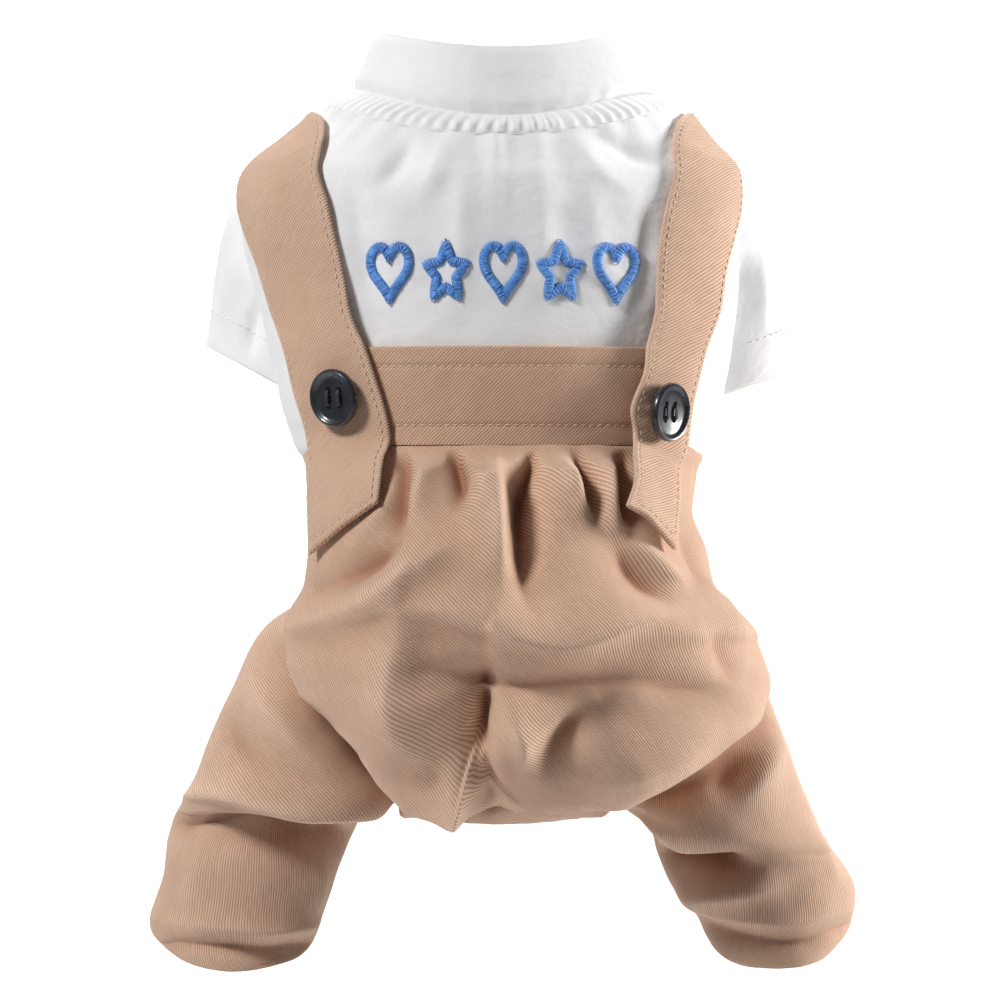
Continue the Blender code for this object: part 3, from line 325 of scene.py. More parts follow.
# Creases and folds, each a smooth line through four places in the picture. left is its width on the side
# that lies left where the line runs down the picture, and below where it runs to the right; right is the
# other side's. Both are in thousandths of the picture. height and push are in mm: out of the cloth, and
# along it towards the right side. start and end are how much of the height is left at the line's ends.
Crease = namedtuple(
    "Crease",
    "across_0 down_0 across_1 down_1 across_2 down_2 across_3 down_3 left right height push start end",
)
SEAT_CREASES = rows_of(Crease, [
    (430, 444, 426, 472, 415, 505, 398, 545, 22, 13, 5.6, 0.6, 1.0, 0.0),  # first pleat
    (452, 444, 458, 468, 461, 490, 456, 524, 8, 8, -8.0, 0, 1.0, 0.0),  # valley after first pleat
    (478, 444, 482, 470, 480, 505, 462, 552, 14, 16, 4.4, 0, 1.0, 0.0),  # second pleat
    (492, 444, 496, 486, 499, 545, 504, 606, 28, 8, 8.4, 1.6, 0.8, 0.0),  # long ridge
    (513, 470, 518, 512, 520, 560, 530, 636, 9, 24, -8.0, 0, 0.3, 0.0),  # valley by the long ridge
    (519, 444, 517, 460, 509, 474, 501, 490, 12, 8, 4.6, 0.4, 1.0, 0.0),  # tucked pleat
    (534, 446, 527, 468, 520, 490, 514, 520, 8, 9, -7.0, 0, 0.8, 0.3),  # valley by the tucked pleat
    (551, 444, 562, 470, 574, 498, 592, 544, 22, 10, 7.4, 1.2, 1.0, 0.0),  # third pleat
    (575, 450, 583, 474, 592, 502, 606, 546, 8, 9, -5.6, 0, 0.8, 0.0),  # valley after third pleat
    (593, 444, 604, 472, 609, 505, 622, 562, 13, 10, 7.0, 0.4, 1.0, 0.0),  # fourth pleat
    (623, 450, 624, 478, 625, 505, 632, 536, 8, 9, -6.5, 0, 0.8, 0.3),  # valley by the right strap
    (402, 448, 402, 478, 398, 515, 386, 556, 12, 10, -7.5, 0, 0.8, 0.0),  # valley by the left strap
    (393, 458, 394, 480, 384, 508, 354, 545, 6, 6, 2.6, 0, 0.5, 0.3),  # ridge by the left strap
    (408, 534, 380, 556, 350, 574, 316, 590, 16, 18, -8.5, 0, 0.3, 0.5),  # upper left hollow
    (462, 536, 428, 570, 386, 604, 308, 626, 32, 15, 8.0, 0, 0.0, 0.6),  # upper left roll
    (628, 532, 648, 558, 668, 582, 690, 606, 10, 16, 4.2, 0, 0.6, 0.1),  # roll under the right strap
    (612, 540, 630, 568, 650, 592, 676, 616, 14, 9, -5.0, 0, 0.3, 0.0),  # hollow under the right strap
    (676, 516, 690, 545, 700, 575, 714, 602, 12, 12, -4.0, 0, 0.2, 0.0),  # hollow beside the right flap
    (694, 568, 714, 596, 736, 626, 752, 655, 14, 16, 3.6, 0, 0.2, 0.0),  # right side roll
    (700, 622, 718, 644, 734, 668, 744, 692, 9, 10, -3.0, 0, 0.0, 0.0),  # hollow at the right side
    (408, 616, 438, 612, 474, 620, 510, 638, 16, 38, 6.0, 0, 0.4, 0.6),  # left sagging edge
    (504, 637, 572, 648, 650, 624, 752, 652, 16, 40, 6.6, 0, 0.6, 0.1),  # right sagging edge
    (424, 672, 520, 694, 640, 684, 752, 684, 34, 30, -11.0, 0, 0.4, 0.2),  # hollow under the sag
    (640, 694, 676, 697, 712, 693, 744, 684, 14, 14, -4.0, 0, 0.0, 0.0),  # dark hollow at the right
    (486, 650, 480, 682, 474, 712, 470, 744, 38, 16, -9.5, 0, 0.2, 1.0),  # slope to the centre
    (486, 700, 482, 720, 476, 742, 474, 772, 11, 10, -9.0, 0, 0.0, 0.6),  # centre dart
    (410, 618, 398, 680, 418, 732, 468, 770, 44, 20, 11.0, 0, 0.4, 0.6),  # left lobe
    (458, 748, 464, 778, 462, 804, 452, 826, 30, 8, 5.6, 0.8, 0.2, 0.7),  # edge of the left lobe
    (482, 756, 488, 784, 488, 804, 484, 822, 9, 12, -6.5, 0, 0.6, 1.0),  # gap by the left lobe
    (502, 700, 516, 728, 524, 752, 516, 780, 13, 20, 5.0, 0, 0.0, 0.0),  # right lobe by the centre
    (612, 712, 582, 734, 556, 760, 538, 786, 15, 12, -7.5, 0, 0.2, 0.0),  # shadow before the right lobe
    (572, 792, 622, 764, 680, 741, 738, 706, 20, 26, 7.0, 0, 0.0, 0.0),  # bright right lobe
    (290, 640, 318, 698, 370, 744, 440, 806, 7, 24, 6.4, -2.6, 0.6, 0.7),  # lower rim of the left lobe
    (352, 752, 384, 788, 412, 806, 440, 826, 18, 6, -9.0, 0, 0.3, 0.8),  # under the left lobe
    (556, 814, 618, 796, 690, 764, 758, 714, 6, 22, 5.6, -2.4, 0.3, 0.7),  # lower rim of the right lobe
])
SHIRT_CREASES = rows_of(Crease, [
    (501, 128, 501, 172, 501, 214, 501, 262, 9, 2.6, 1.8, 0.2, 1.0, 0.0),  # pressed centre fold
    (508, 140, 508, 175, 507, 210, 506, 250, 4, 6, -1.1, 0, 0.5, 0.0),  # hollow by the centre fold
    (418, 134, 404, 156, 389, 176, 372, 196, 7, 7, -3.7, 0, 0.2, 0.0),  # left shoulder hollow
    (448, 138, 440, 160, 431, 180, 420, 204, 9, 9, 2.9, 0, 0.2, 0.0),  # left shoulder ridge
    (597, 135, 618, 145, 640, 154, 662, 164, 8, 7, -4.0, 0, 0.2, 0.2),  # right shoulder hollow
    (570, 136, 590, 160, 612, 180, 640, 196, 10, 10, 2.0, 0, 0.2, 0.0),  # right shoulder ridge
    (464, 140, 462, 195, 459, 255, 456, 335, 10, 12, 1.8, 0, 0.3, 0.1),  # left ripple
    (540, 140, 543, 200, 546, 260, 548, 335, 12, 10, 1.8, 0, 0.3, 0.1),  # middle ripple
    (586, 150, 592, 205, 598, 262, 600, 335, 10, 10, 1.5, 0, 0.1, 0.1),  # right ripple
    (352, 170, 356, 220, 366, 275, 374, 335, 7, 9, -2.0, 0, 0.1, 0.2),  # hollow by the left strap
    (650, 180, 648, 228, 642, 280, 634, 335, 8, 7, -2.0, 0, 0.1, 0.2),  # hollow by the right strap
])
LEFT_SLEEVE_CREASES = rows_of(Crease, [
    (262, 300, 254, 322, 250, 345, 252, 366, 6, 7, -2.9, 0, 0.4, 0.0),  # armpit fold
    (240, 236, 232, 268, 226, 300, 222, 336, 9, 9, 2.2, 0, 0.0, 0.0),  # cap ridge
    (226, 214, 218, 250, 214, 285, 212, 320, 7, 8, -2.0, 0, 0.0, 0.0),  # cap hollow
])
RIGHT_SLEEVE_CREASES = rows_of(Crease, [
    (742, 262, 736, 292, 730, 322, 728, 352, 7, 6, -2.6, 0, 0.3, 0.0),  # armpit fold
    (756, 236, 762, 270, 764, 304, 762, 340, 9, 9, 2.2, 0, 0.0, 0.0),  # cap ridge
    (768, 250, 776, 282, 780, 312, 778, 345, 7, 7, -1.8, 0, 0.0, 0.0),  # cap hollow
])
LEFT_LEG_CREASES = rows_of(Crease, [
    (290, 655, 330, 712, 384, 764, 444, 812, 26, 16, -8.0, 0, 0.6, 0.8),  # recess under the seat
    (232, 664, 262, 704, 300, 746, 352, 786, 16, 14, 4.0, 0, 0.0, 0.0),  # thigh roll
    (214, 700, 228, 730, 250, 758, 282, 782, 10, 10, -2.3, 0, 0.0, 0.0),  # outer thigh dent
    (172, 800, 228, 799, 300, 812, 396, 806, 5, 24, 6.0, -1.6, 0.7, 0.7),  # edge of the knee roll
    (168, 822, 232, 824, 300, 836, 384, 830, 20, 7, -9.5, 0, 0.6, 0.6),  # hollow under the knee roll
    (200, 846, 194, 872, 190, 898, 196, 922, 10, 12, 2.0, 0, 0.0, 0.0),  # shin fold
    (322, 844, 322, 868, 316, 898, 306, 922, 10, 8, 2.3, 0, 0.0, 0.0),  # inner shin fold
    (168, 924, 226, 930, 270, 934, 320, 926, 5, 12, 2.2, 0, 0.6, 0.6),  # cuff lip
    (172, 944, 226, 948, 270, 952, 312, 944, 12, 7, -4.6, 0, 0.6, 0.6),  # turned cuff
])
RIGHT_LEG_CREASES = rows_of(Crease, [
    (592, 820, 652, 798, 716, 764, 768, 716, 22, 14, -7.0, 0, 0.6, 0.6),  # recess under the seat
    (780, 722, 774, 752, 756, 782, 730, 812, 9, 20, 4.4, 0, 0.5, 0.0),  # second fold
    (762, 744, 748, 764, 730, 782, 706, 798, 13, 9, -4.4, 0, 0.2, 0.0),  # hollow of the second fold
    (612, 806, 648, 824, 700, 838, 770, 852, 5, 20, 6.2, -1.8, 0.5, 0.1),  # lower rim of the thigh
    (630, 848, 680, 858, 726, 864, 770, 868, 14, 7, -9.5, 0, 0.6, 0.0),  # hollow under the thigh
    (668, 896, 706, 896, 752, 892, 800, 878, 13, 16, 4.6, 0, 0.3, 0.0),  # shin lobe
    (800, 812, 818, 838, 832, 866, 842, 896, 10, 10, 2.0, 0, 0.0, 0.0),  # outer shin fold
    (690, 904, 734, 918, 790, 924, 858, 908, 5, 12, 2.2, 0, 0.6, 0.6),  # cuff lip
    (700, 924, 738, 938, 790, 944, 850, 928, 12, 7, -4.6, 0, 0.6, 0.6),  # turned cuff
])
CREST_POWER = 1.45
VALLEY_POWER = 1.4
CREASE_FADE = 0.45

# Crests are rubbed paler, and folds are painted with shade, darker and redder: the height, in metres, that
# counts as fully out, and how many times the cloth is averaged to find the surface that heights are measured
# from.
FOLD_HEIGHT = 0.0032
FOLD_BLUR = 90

# Stitches and threads
STITCH_PITCH = 0.0026
STITCH_LENGTH = 0.0019
STITCH_RADIUS = 0.00021
STITCH_INSET = 0.0029
# The dents that rows of stitches pull into straps and band
STRAP_DENT_WIDTH = 0.0006
STRAP_DENT_DEPTH = 0.00030
BAND_DENT_WIDTH = 0.0007
BAND_DENT_DEPTH = 0.00035
SATIN_PITCH = 0.00052
SATIN_RADIUS = 0.00034
SATIN_HEIGHT = 0.0010
SATIN_SLANT = math.radians(5)
SATIN_CORNER = 9

# Weaves, in mm
TWILL_PITCH = 0.82
TWILL_FLOAT = 1.35
COTTON_PITCH = 0.50

COLLAR_CREASES = rows_of(Crease, [
    (380, 66, 450, 72, 540, 70, 640, 62, 10, 10, 0.5, 0, 0.2, 0.2),  # soft roll
    (392, 44, 388, 60, 380, 76, 372, 92, 5, 7, -0.6, 0, 0.2, 0.0),  # left dent
    (622, 40, 628, 56, 634, 70, 640, 84, 7, 5, -0.6, 0, 0.2, 0.0),  # right dent
])

# The tail casing lies a little inside and above the seat's lower edge, which hangs over it at the back.
TAIL_TUCK = 0.0020
TAIL_LIFT = 0.0030

# Where the seat's lower edge hangs down or is drawn up: the middle and width in the picture, in thousandths
# of it, how far out and down it goes in mm, and the share of the seat's drop where that starts.
Hang = namedtuple("Hang", "across width out down start")
SEAT_HANGS = rows_of(Hang, [
    (455, 15, 3.0, 3.0, 0.72),
    (412, 18, -2.0, 0.4, 0.84),
    (497, 17, -4.4, -3.6, 0.84),
    (560, 30, 1.6, 0.6, 0.80),
])

# How deep cloth lies inside the trousers, a sleeve or the chest before it is left out, how far away a
# neighbour is looked for, and how far cloth is looked for on both sides of what lies over it
HIDDEN_DEPTH = 0.0095
SLEEVE_DEPTH = 0.0008
CHEST_DEPTH = 0.0012
NEAR_ENOUGH = 0.06
PRESS_REACH = 0.010

# Uneven waves in cloth, each a share or a height, how it is stretched along the three axes, and its size
CRUMPLE_WAVES = ((1.0, (1, 1, 0.6), 0.021), (0.5, (1, 1, 1), 0.0105), (0.22, (1, 1, 1), 0.005))
RIBBON_WAVES = ((0.00022, (1, 1, 1), 0.013), (0.00012, (1, 1, 1), 0.006))
BAND_WAVES = ((0.00016, (1, 1, 0.35), 0.0052), (0.00020, (1, 1, 1), 0.016))
LATTICE_SIDE = 24

# How finely the cloth is modelled
COLLAR_COLUMNS = 300
COLLAR_LINES = 40
CASING_COLUMNS = 900
SHIRT_COLUMNS = 320
SHIRT_LINES = 190
SLEEVE_COLUMNS = 150
SLEEVE_LINES = 90
SEAT_COLUMNS = 360
SEAT_LINES = 250
LEG_COLUMNS = 180
LEG_LINES = 190
STRAP_COLUMNS = 26
STRAP_LINES = 420
STRAP_KNOTS = 5
FLAP_ROWS = 6
BAND_COLUMNS = 220
BAND_LINES = 70

# Where the legs' cloth turns at the knee, and how far each piece's wales run down from level, in degrees
KNEE_SHARE = 0.42
SEAT_WALES = 48
THIGH_WALES = 12
SHIN_WALES = 78
RIGHT_LEG_WALES = -62
BAND_WALES = -45
LEFT_STRAP_WALES = 157
RIGHT_STRAP_WALES = 134
BAND_STITCH_LINES = (0.19, 0.80)

# The seat's top edge turns in behind the band: how much of the way to the shirt, and how far up
SEAT_LIP = ((1.0, 0.0030), (0.95, 0.0018), (0.75, 0.0010), (0.40, 0.0005))

# Colours
TWILL_CREST = (0.780, 0.560, 0.430)
TWILL_MIDDLE = (0.680, 0.465, 0.345)
TWILL_FURROW = (0.480, 0.290, 0.195)
# Painted shade: the twill's colour is multiplied darker and redder deep in folds, and paler on crests as
# rubbed wear
TWILL_WEAR_AND_FOLD_SHADE = ((0.0, (0.62, 0.44, 0.36)), (0.5, (0.95, 0.91, 0.88)), (1.0, (1.08, 1.11, 1.14)))
COTTON_COOL = (0.855, 0.865, 0.885)
COTTON_WARM = (0.900, 0.898, 0.900)

# Studio
FLOOR_HEIGHT = -1.50
BACKDROP_AWAY = 1.7
AIR_LIGHT = 0.11
KEY_POWER = 64.0
RIM_POWER = 30.0
BACK_POWER = 34.0
FLOOR_FRONT = -2.6
SWEEP_BEND = 0.5
SWEEP_HALF_WIDTH = 3.0
WALL_HEIGHT = 3.4
KEY_PLACE = (-1.70, -1.45, 1.55)
RIM_PLACE = (1.48, 0.06, 0.12)
WALL_LIGHT_PLACE = (0.0, 0.75, 0.95)


def smooth(rows, key, at):
    """The columns of a table of rows at the values `at` of its key column, as a curve without overshoot."""
    table = np.array(rows, float)
    places = table[:, rows[0]._fields.index(key)]
    steps = np.diff(places)[:, None]
    slopes = np.diff(table, axis=0) / steps
    same_way = slopes[1:] * slopes[:-1] > 0
    total = np.where(same_way, slopes[1:] + slopes[:-1], 1)
    middle = np.where(same_way, 2 * slopes[1:] * slopes[:-1] / total, 0)
    tangents = np.vstack([slopes[:1], middle, slopes[-1:]])
    at = np.clip(np.asarray(at, float), places[0], places[-1])
    left = np.clip(np.searchsorted(places, at, side="right") - 1, 0, len(places) - 2)
    step = steps[left]
    t = ((at - places[left]) / step[..., 0])[..., None]
    value = (
        (1 + 2 * t) * (1 - t) ** 2 * table[left]
        + t * (1 - t) ** 2 * step * tangents[left]
        + t**2 * (3 - 2 * t) * table[left + 1]
        - t**2 * (1 - t) * step * tangents[left + 1]
    )
    return rows[0].__class__(*np.moveaxis(value, -1, 0))


def numbered(rows):
    """The table with a first column that counts its rows, for a path whose own columns turn back."""
    kind = namedtuple("Numbered", ("row",) + rows[0]._fields)
    return [kind(number, *row) for number, row in enumerate(rows)]


def oval(angle, half_left, half_right, back, belly):
    """Points round the body: x and y of a section whose four half sizes may differ."""
    across, along = np.sin(angle), -np.cos(angle)
    x = across * np.where(across < 0, half_left, half_right)
    y = along * np.where(along < 0, back, belly)
    return x, y


def trunk_sizes(drop):
    """The half width, back and belly of the trunk's section at a drop, and the row it comes from."""
    row = smooth(TRUNK_ROWS, "drop", drop)
    width = row.neck * NECK_HALF_WIDTH + row.chest * CHEST_HALF_WIDTH + row.waist * WAIST_HALF_WIDTH
    back = row.neck * NECK_BACK + row.chest * CHEST_BACK + row.waist * WAIST_BACK
    belly = row.neck * NECK_BELLY + row.chest * CHEST_BELLY + row.waist * WAIST_BELLY
    return width, back, belly, row


def trunk(angle, drop):
    """The outside of the shirt at angles round the body and drops in shares of WAIST_DROP."""
    width, back, belly, row = trunk_sizes(drop)
    x, y = oval(angle, width, width, back, belly)
    x = x - SHOULDER_LEAN * row.lean
    nape = np.clip(np.cos(angle), 0, 1) ** 2
    throat = ((1 - np.cos(angle)) / 2) ** 2
    z = -WAIST_DROP * np.broadcast_to(drop, x.shape)
    z = z + row.lift * (NECK_SIDE_RISE * np.sin(angle) ** 2 - NAPE_DROP * nape - THROAT_DROP * throat)
    return np.stack([x, y, z], axis=-1)


def waist_seam(angle):
    """How far down the waist seam lies at each angle: straight under the band, lower past the straps."""
    past = np.clip((np.abs(np.angle(np.exp(1j * angle))) - BAND_HALF_ANGLE) / (HALF_TURN / 4), 0, 1)
    return WAIST_DROP + SEAM_GAP + WAIST_SIDE_DROP * past * past * (3 - 2 * past)


def fold_relief(across, down):
    """How far the folds push the seat out at places across and down it, in metres."""
    relief = np.zeros(np.broadcast(across, down).shape)
    for fold in SEAT_FOLDS:
        points = [(fold.across_0, fold.down_0), (fold.across_1, fold.down_1), (fold.across_2, fold.down_2)]
        best = np.full(relief.shape, np.inf)
        along = np.zeros(relief.shape)
        for number, (start, end) in enumerate(zip(points, points[1:])):
            run = np.subtract(end, start)
            share = ((across - start[0]) * run[0] + (down - start[1]) * run[1]) / (run @ run)
            share = np.clip(share, 0, 1)
            away = np.hypot(across - start[0] - share * run[0], down - start[1] - share * run[1])
            nearer = away < best
            best = np.where(nearer, away, best)
            along = np.where(nearer, (number + share) / 2, along)
        fade = np.clip(4 * np.minimum(along + 0.12, 1.1 - along), 0, 1)
        relief += fold.height * SEAT_BACK * fade * np.exp(-((best / fold.width) ** 2))
    return relief


def seat(angle, drop, relief=True):
    """The outside of the trousers' seat, with or without its main folds, at drops in shares of SEAT_DROP."""
    row = smooth(SEAT_ROWS, "drop", drop)
    top = waist_seam(angle)
    width, back, belly, _ = trunk_sizes(top / WAIST_DROP)
    seam = 2 * SEAM_GAP + TWILL_CLOTH
    waist = [width + seam, width + seam, back + seam, belly + seam]
    tail = [TAIL_HALF_WIDTH, TAIL_HALF_WIDTH, TAIL_BACK, TAIL_BELLY]
    hip = [HIP_LEFT, HIP_RIGHT, SEAT_BACK, SEAT_BELLY]
    sizes = []
    for size, share in enumerate((row.left, row.right, row.back, row.belly)):
        base = (1 - row.tail) * waist[size] + row.tail * tail[size]
        sizes.append(base + (hip[size] - base) * share)
    x, y = oval(angle, *sizes)
    z = -top - (WAIST_DROP + SEAT_DROP - top) * drop
    z = z + TAIL_SIDE_RISE * np.clip(drop, 0, 1) ** 4 * np.sin(angle / 2) ** 2
    if not relief:
        return np.stack([x, y, z], axis=-1)
    facing = np.clip(np.cos(angle) * 1.6, 0, 1)
    push = fold_relief(x / HIP_RIGHT, (-z - WAIST_DROP) / SEAT_DROP) * facing
    held = np.clip(np.minimum(drop, 1 - drop) / 0.06, 0, 1)
    push = push * held
    x = x + push * np.sin(angle)
    y = y - push * np.cos(angle)
    return np.stack([x, y, z], axis=-1)


def limb(rows, sizes, side, angle, place):
    """A tube down a table of rows: angles round it and places counted in rows.

    sizes are how far it reaches out to the side, forward and down, and its radius.
    """
    reach, forward, fall, radius = sizes
    row = smooth(numbered(rows), "row", place)
    tilt = np.radians(row.tilt)
    wide = row.girth * radius
    deep = row.depth * radius
    sideways, nearwards = np.sin(angle), np.cos(angle)
    x = side * (row.out * reach + wide * sideways * np.cos(tilt))
    y = row.ahead * forward - deep * nearwards
    z = -row.drop * fall + wide * sideways * np.sin(tilt) - row.dip * radius * nearwards
    return np.stack([x, y, z], axis=-1)


def unit(vectors):
    """The vectors, each one unit long."""
    return vectors / np.maximum(np.linalg.norm(vectors, axis=-1, keepdims=True), 1e-12)


def grid_normals(points, around):
    """Unit normals of a grid whose rows run down and whose columns run round towards +X, facing outwards."""
    along = np.gradient(points, axis=0)
    if around:
        across = np.roll(points, -1, axis=1) - np.roll(points, 1, axis=1)
    else:
        across = np.gradient(points, axis=1)
    return unit(np.cross(along, across))


def outwards_round(angle):
    """The level way out of the body at each angle round it."""
    return np.stack([np.sin(angle), -np.cos(angle), 0 * angle], axis=-1)


def reached_along(points, axis=0):
    """How far points lie along a line of them, or along an axis of a grid, from 0 at the first."""
    step = np.linalg.norm(np.diff(points, axis=axis), axis=-1)
    start = np.zeros_like(np.take(step, [0], axis=axis))
    return np.concatenate([start, np.cumsum(step, axis=axis)], axis=axis)


def placed_along(at, reached, values):
    """The values of a line at distances along it."""
    columns = [np.interp(at, reached, values[:, column]) for column in range(values.shape[1])]
    return np.stack(columns, axis=-1)


def rounded_off(line, times):
    """A closed line averaged with its neighbours a few times."""
    for _ in range(times):
        line = (np.roll(line, 1, axis=0) + 2 * line + np.roll(line, -1, axis=0)) / 4
    return line


def casing_drop(angle):
    """Where the neck casing ends at each angle, in shares of WAIST_DROP: lower down at the back and belly."""
    return NECK_CASING_HEIGHT * (1 - NECK_CASING_TAPER * np.sin(angle) ** 2) / WAIST_DROP


def strap_surface(drop, angle):
    """The body under a strap: the shirt down to the waist seam, and the seat past it."""
    above = trunk(angle, np.minimum(drop, 1))
    below = seat(angle, np.clip((drop - 1) * FLAP_LENGTH / SEAT_DROP, 0, 1))
    past = (drop > 1)[..., None]
    rise = (SEAM_GAP + TWILL_CLOTH) * outwards_round(angle)
    return np.where(past, below - rise, above)


def strap_points(side, along, across):
    """The outside of a strap at places along it, counted in rows, and across it from inner edge to outer."""
    rows = (LEFT_STRAP_ROWS if side < 0 else RIGHT_STRAP_ROWS) + BELLY_STRAP_ROWS
    row = smooth(numbered(rows), "row", along)
    drop = row.inner_drop + (row.outer_drop - row.inner_drop) * across
    angle = side * np.radians(row.inner_angle + (row.outer_angle - row.inner_angle) * across)
    lift = row.inner_lift + (row.outer_lift - row.inner_lift) * across
    points = strap_surface(drop, angle)
    rise = SEAM_GAP + STRAP_CLOTH + lift * (BAND_CLOTH + SEAM_GAP)
    normals = grid_normals(points, False)
    outwards = np.sign((normals * (points * [1, 1, 0])).sum())
    return points + rise[..., None] * (normals * outwards)


def drawn_out(points, places):
    """Points of a smooth line or sheet through its rows, at places counted in rows."""
    padded = np.concatenate([2 * points[:1] - points[1:2], points, 2 * points[-1:] - points[-2:-1]])
    first = np.clip(np.floor(places).astype(int), 0, len(points) - 2)
    share = (places - first).reshape((-1,) + (1,) * (points.ndim - 1))
    a, b, c, d = (padded[first + step] for step in range(4))
    bend = 2 * a - 5 * b + 4 * c - d
    twist = 3 * b - a - 3 * c + d
    return b + 0.5 * share * (c - a + share * (bend + share * twist))


def strap_frame(side, across, drop):
    """The place on a strap this far across it and down from the neck seam, and the way its outside faces."""
    spread, along = np.meshgrid([across - 0.1, across, across + 0.1], np.linspace(2, 8, 121))
    points = strap_points(side, along, spread)
    nearest = int(np.argmin(np.abs(points[1:-1, 1, 2] + drop))) + 1
    run = points[nearest + 1, 1] - points[nearest - 1, 1]
    over = points[nearest, 2] - points[nearest, 0]
    normal = Vector(np.cross(run, over)).normalized()
    middle = Vector(points[nearest, 1])
    if normal.dot(Vector((middle.x, middle.y, 0))) < 0:
        normal = -normal
    return middle, normal


def heart_outline(count):
    """Points round a heart one unit high and about one wide, from the classic sine curve."""
    t = np.linspace(0, FULL_TURN, count, endpoint=False)
    x = 16 * np.sin(t) ** 3
    z = 13 * np.cos(t) - 5 * np.cos(2 * t) - 2 * np.cos(3 * t) - np.cos(4 * t)
    return np.stack([x / 32, (z + 2.5) / 29], axis=-1)


def ease(value, low, high):
    """0 below low, 1 above high, and a smooth step between them."""
    share = np.clip((value - low) / (high - low), 0, 1)
    return share * share * (3 - 2 * share)


def picture(points):
    """Where points show in the picture, across and down from its upper left, in thousandths of its side."""
    unit = FRAME_WIDTH / PICTURE * (CAMERA_DISTANCE + points[..., 1]) / CAMERA_DISTANCE
    across = PICTURE / 2 + (points[..., 0] - CAMERA_ACROSS) / unit
    down = PICTURE / 2 - (points[..., 2] - CAMERA_HEIGHT) / unit
    return across, down


def crease_line(crease, steps=9):
    """The crease's smooth line through its four places."""
    places = np.array(crease[:8], float).reshape(4, 2)
    return drawn_out(places, np.linspace(0, 3, 3 * steps + 1))


def crease_relief(creases, across, down):
    """How far creases push cloth out, and along the picture's two directions, in metres."""
    out = np.zeros(across.shape)
    along_picture = np.zeros(across.shape + (2,))
    for crease in creases:
        line = crease_line(crease)
        reach = 3.2 * max(crease.left, crease.right)
        low, high = line.min(axis=0) - reach, line.max(axis=0) + reach
        near = (across > low[0]) & (across < high[0]) & (down > low[1]) & (down < high[1])
        if not near.any():
            continue
        place = np.stack([across[near], down[near]], axis=-1)
        best = np.full(len(place), np.inf)
        share = np.zeros(len(place))
        aside = np.zeros_like(place)
        for number, (start, end) in enumerate(zip(line, line[1:])):
            run = end - start
            reached = np.clip((place - start) @ run / (run @ run), 0, 1)
            away = place - start - reached[:, None] * run
            distance = np.hypot(away[:, 0], away[:, 1])
            side = np.sign(run[0] * away[:, 1] - run[1] * away[:, 0])
            width = np.where(side > 0, crease.left, crease.right)
            nearer = distance / width < best
            best = np.where(nearer, distance / width, best)
            share = np.where(nearer, (number + reached) / (len(line) - 1), share)
            aside = np.where(nearer[:, None], np.array([-run[1], run[0]]) / -np.hypot(*run), aside)
        fade = crease.start + (1 - crease.start) * ease(share, 0, CREASE_FADE)
        fade = fade * (crease.end + (1 - crease.end) * ease(1 - share, 0, CREASE_FADE))
        power = CREST_POWER if crease.height > 0 else VALLEY_POWER
        shape = fade * np.exp(-(best**power))
        out[near] += MM * crease.height * shape
        along_picture[near] += MM * crease.push * shape[:, None] * aside
    return out, along_picture


def lattice_noise(points, size, seed):
    """Smooth seeded noise from -1 to 1 with features of about a size, at places in space."""
    lattice = np.random.default_rng(seed).uniform(-1, 1, (LATTICE_SIDE,) * 3)
    place = points / size + LATTICE_SIDE * 1000
    cell = np.floor(place).astype(int)
    share = place - cell
    share = share * share * (3 - 2 * share)
    value = np.zeros(points.shape[:-1])
    for corner in np.ndindex(2, 2, 2):
        weight = np.prod(np.where(corner, share, 1 - share), axis=-1)
        at = (cell + corner) % LATTICE_SIDE
        value += weight * lattice[at[..., 0], at[..., 1], at[..., 2]]
    return value


def waves(points, parts, seed):
    """Uneven waves at places in space, added up from parts. Each part has a seed of its own."""
    total = 0
    for number, (height, stretch, size) in enumerate(parts):
        total = total + height * lattice_noise(points * stretch, size, seed + number)
    return total


def softened(values, around, times):
    """A grid of values averaged with their neighbours a few times."""
    for _ in range(times):
        padded = np.concatenate([values[:1], values, values[-1:]])
        values = (padded[:-2] + 2 * values + padded[2:]) / 4
        if around:
            values = (np.roll(values, 1, axis=1) + 2 * values + np.roll(values, -1, axis=1)) / 4
        else:
            padded = np.concatenate([values[:, :1], values, values[:, -1:]], axis=1)
            values = (padded[:, :-2] + 2 * values + padded[:, 2:]) / 4
    return values


def creased(points, creases, crumple, seed, hold_top=0.0, hold_bottom=0.0):
    """A grid of cloth with its creases pushed into it, and slight uneven waves of a height in metres."""
    normals = grid_normals(points, True)
    across, down = picture(points)
    facing = ease(-normals[..., 1], 0.05, 0.45)
    out, aside = crease_relief(creases, across, down)
    push = out * facing + crumple * waves(points, CRUMPLE_WAVES, seed)
    share = np.linspace(0, 1, len(points))[:, None]
    held = np.ones_like(push)
    if hold_top:
        held = held * ease(share, 0, hold_top)
    if hold_bottom:
        held = held * ease(1 - share, 0, hold_bottom)
    move = push[..., None] * held[..., None] * normals
    move[..., 0] += aside[..., 0] * facing
    move[..., 2] -= aside[..., 1] * facing
    return points + softened(move, True, 3)


def woven(points, around, wale_angle):
    """Each point's place on the flat cloth in mm: across the wales, along them, and down the cloth.

    It is measured from the middle column and the first row. wale_angle is how far the wales run down from
    level, seen from outside, in degrees. A grid that closes round gets a last column of its own.
    """
    closed = np.concatenate([points, points[:, :1]], axis=1) if around else points
    across = reached_along(closed, axis=1)
    middle = points.shape[1] // 2
    across = softened(across - across[:, middle : middle + 1], False, 4)
    down = softened(reached_along(closed), False, 4)
    wale = math.radians(wale_angle)
    over = down * math.cos(wale) - across * math.sin(wale)
    along = across * math.cos(wale) + down * math.sin(wale)
    return np.stack([over, along, down], axis=-1) / MM


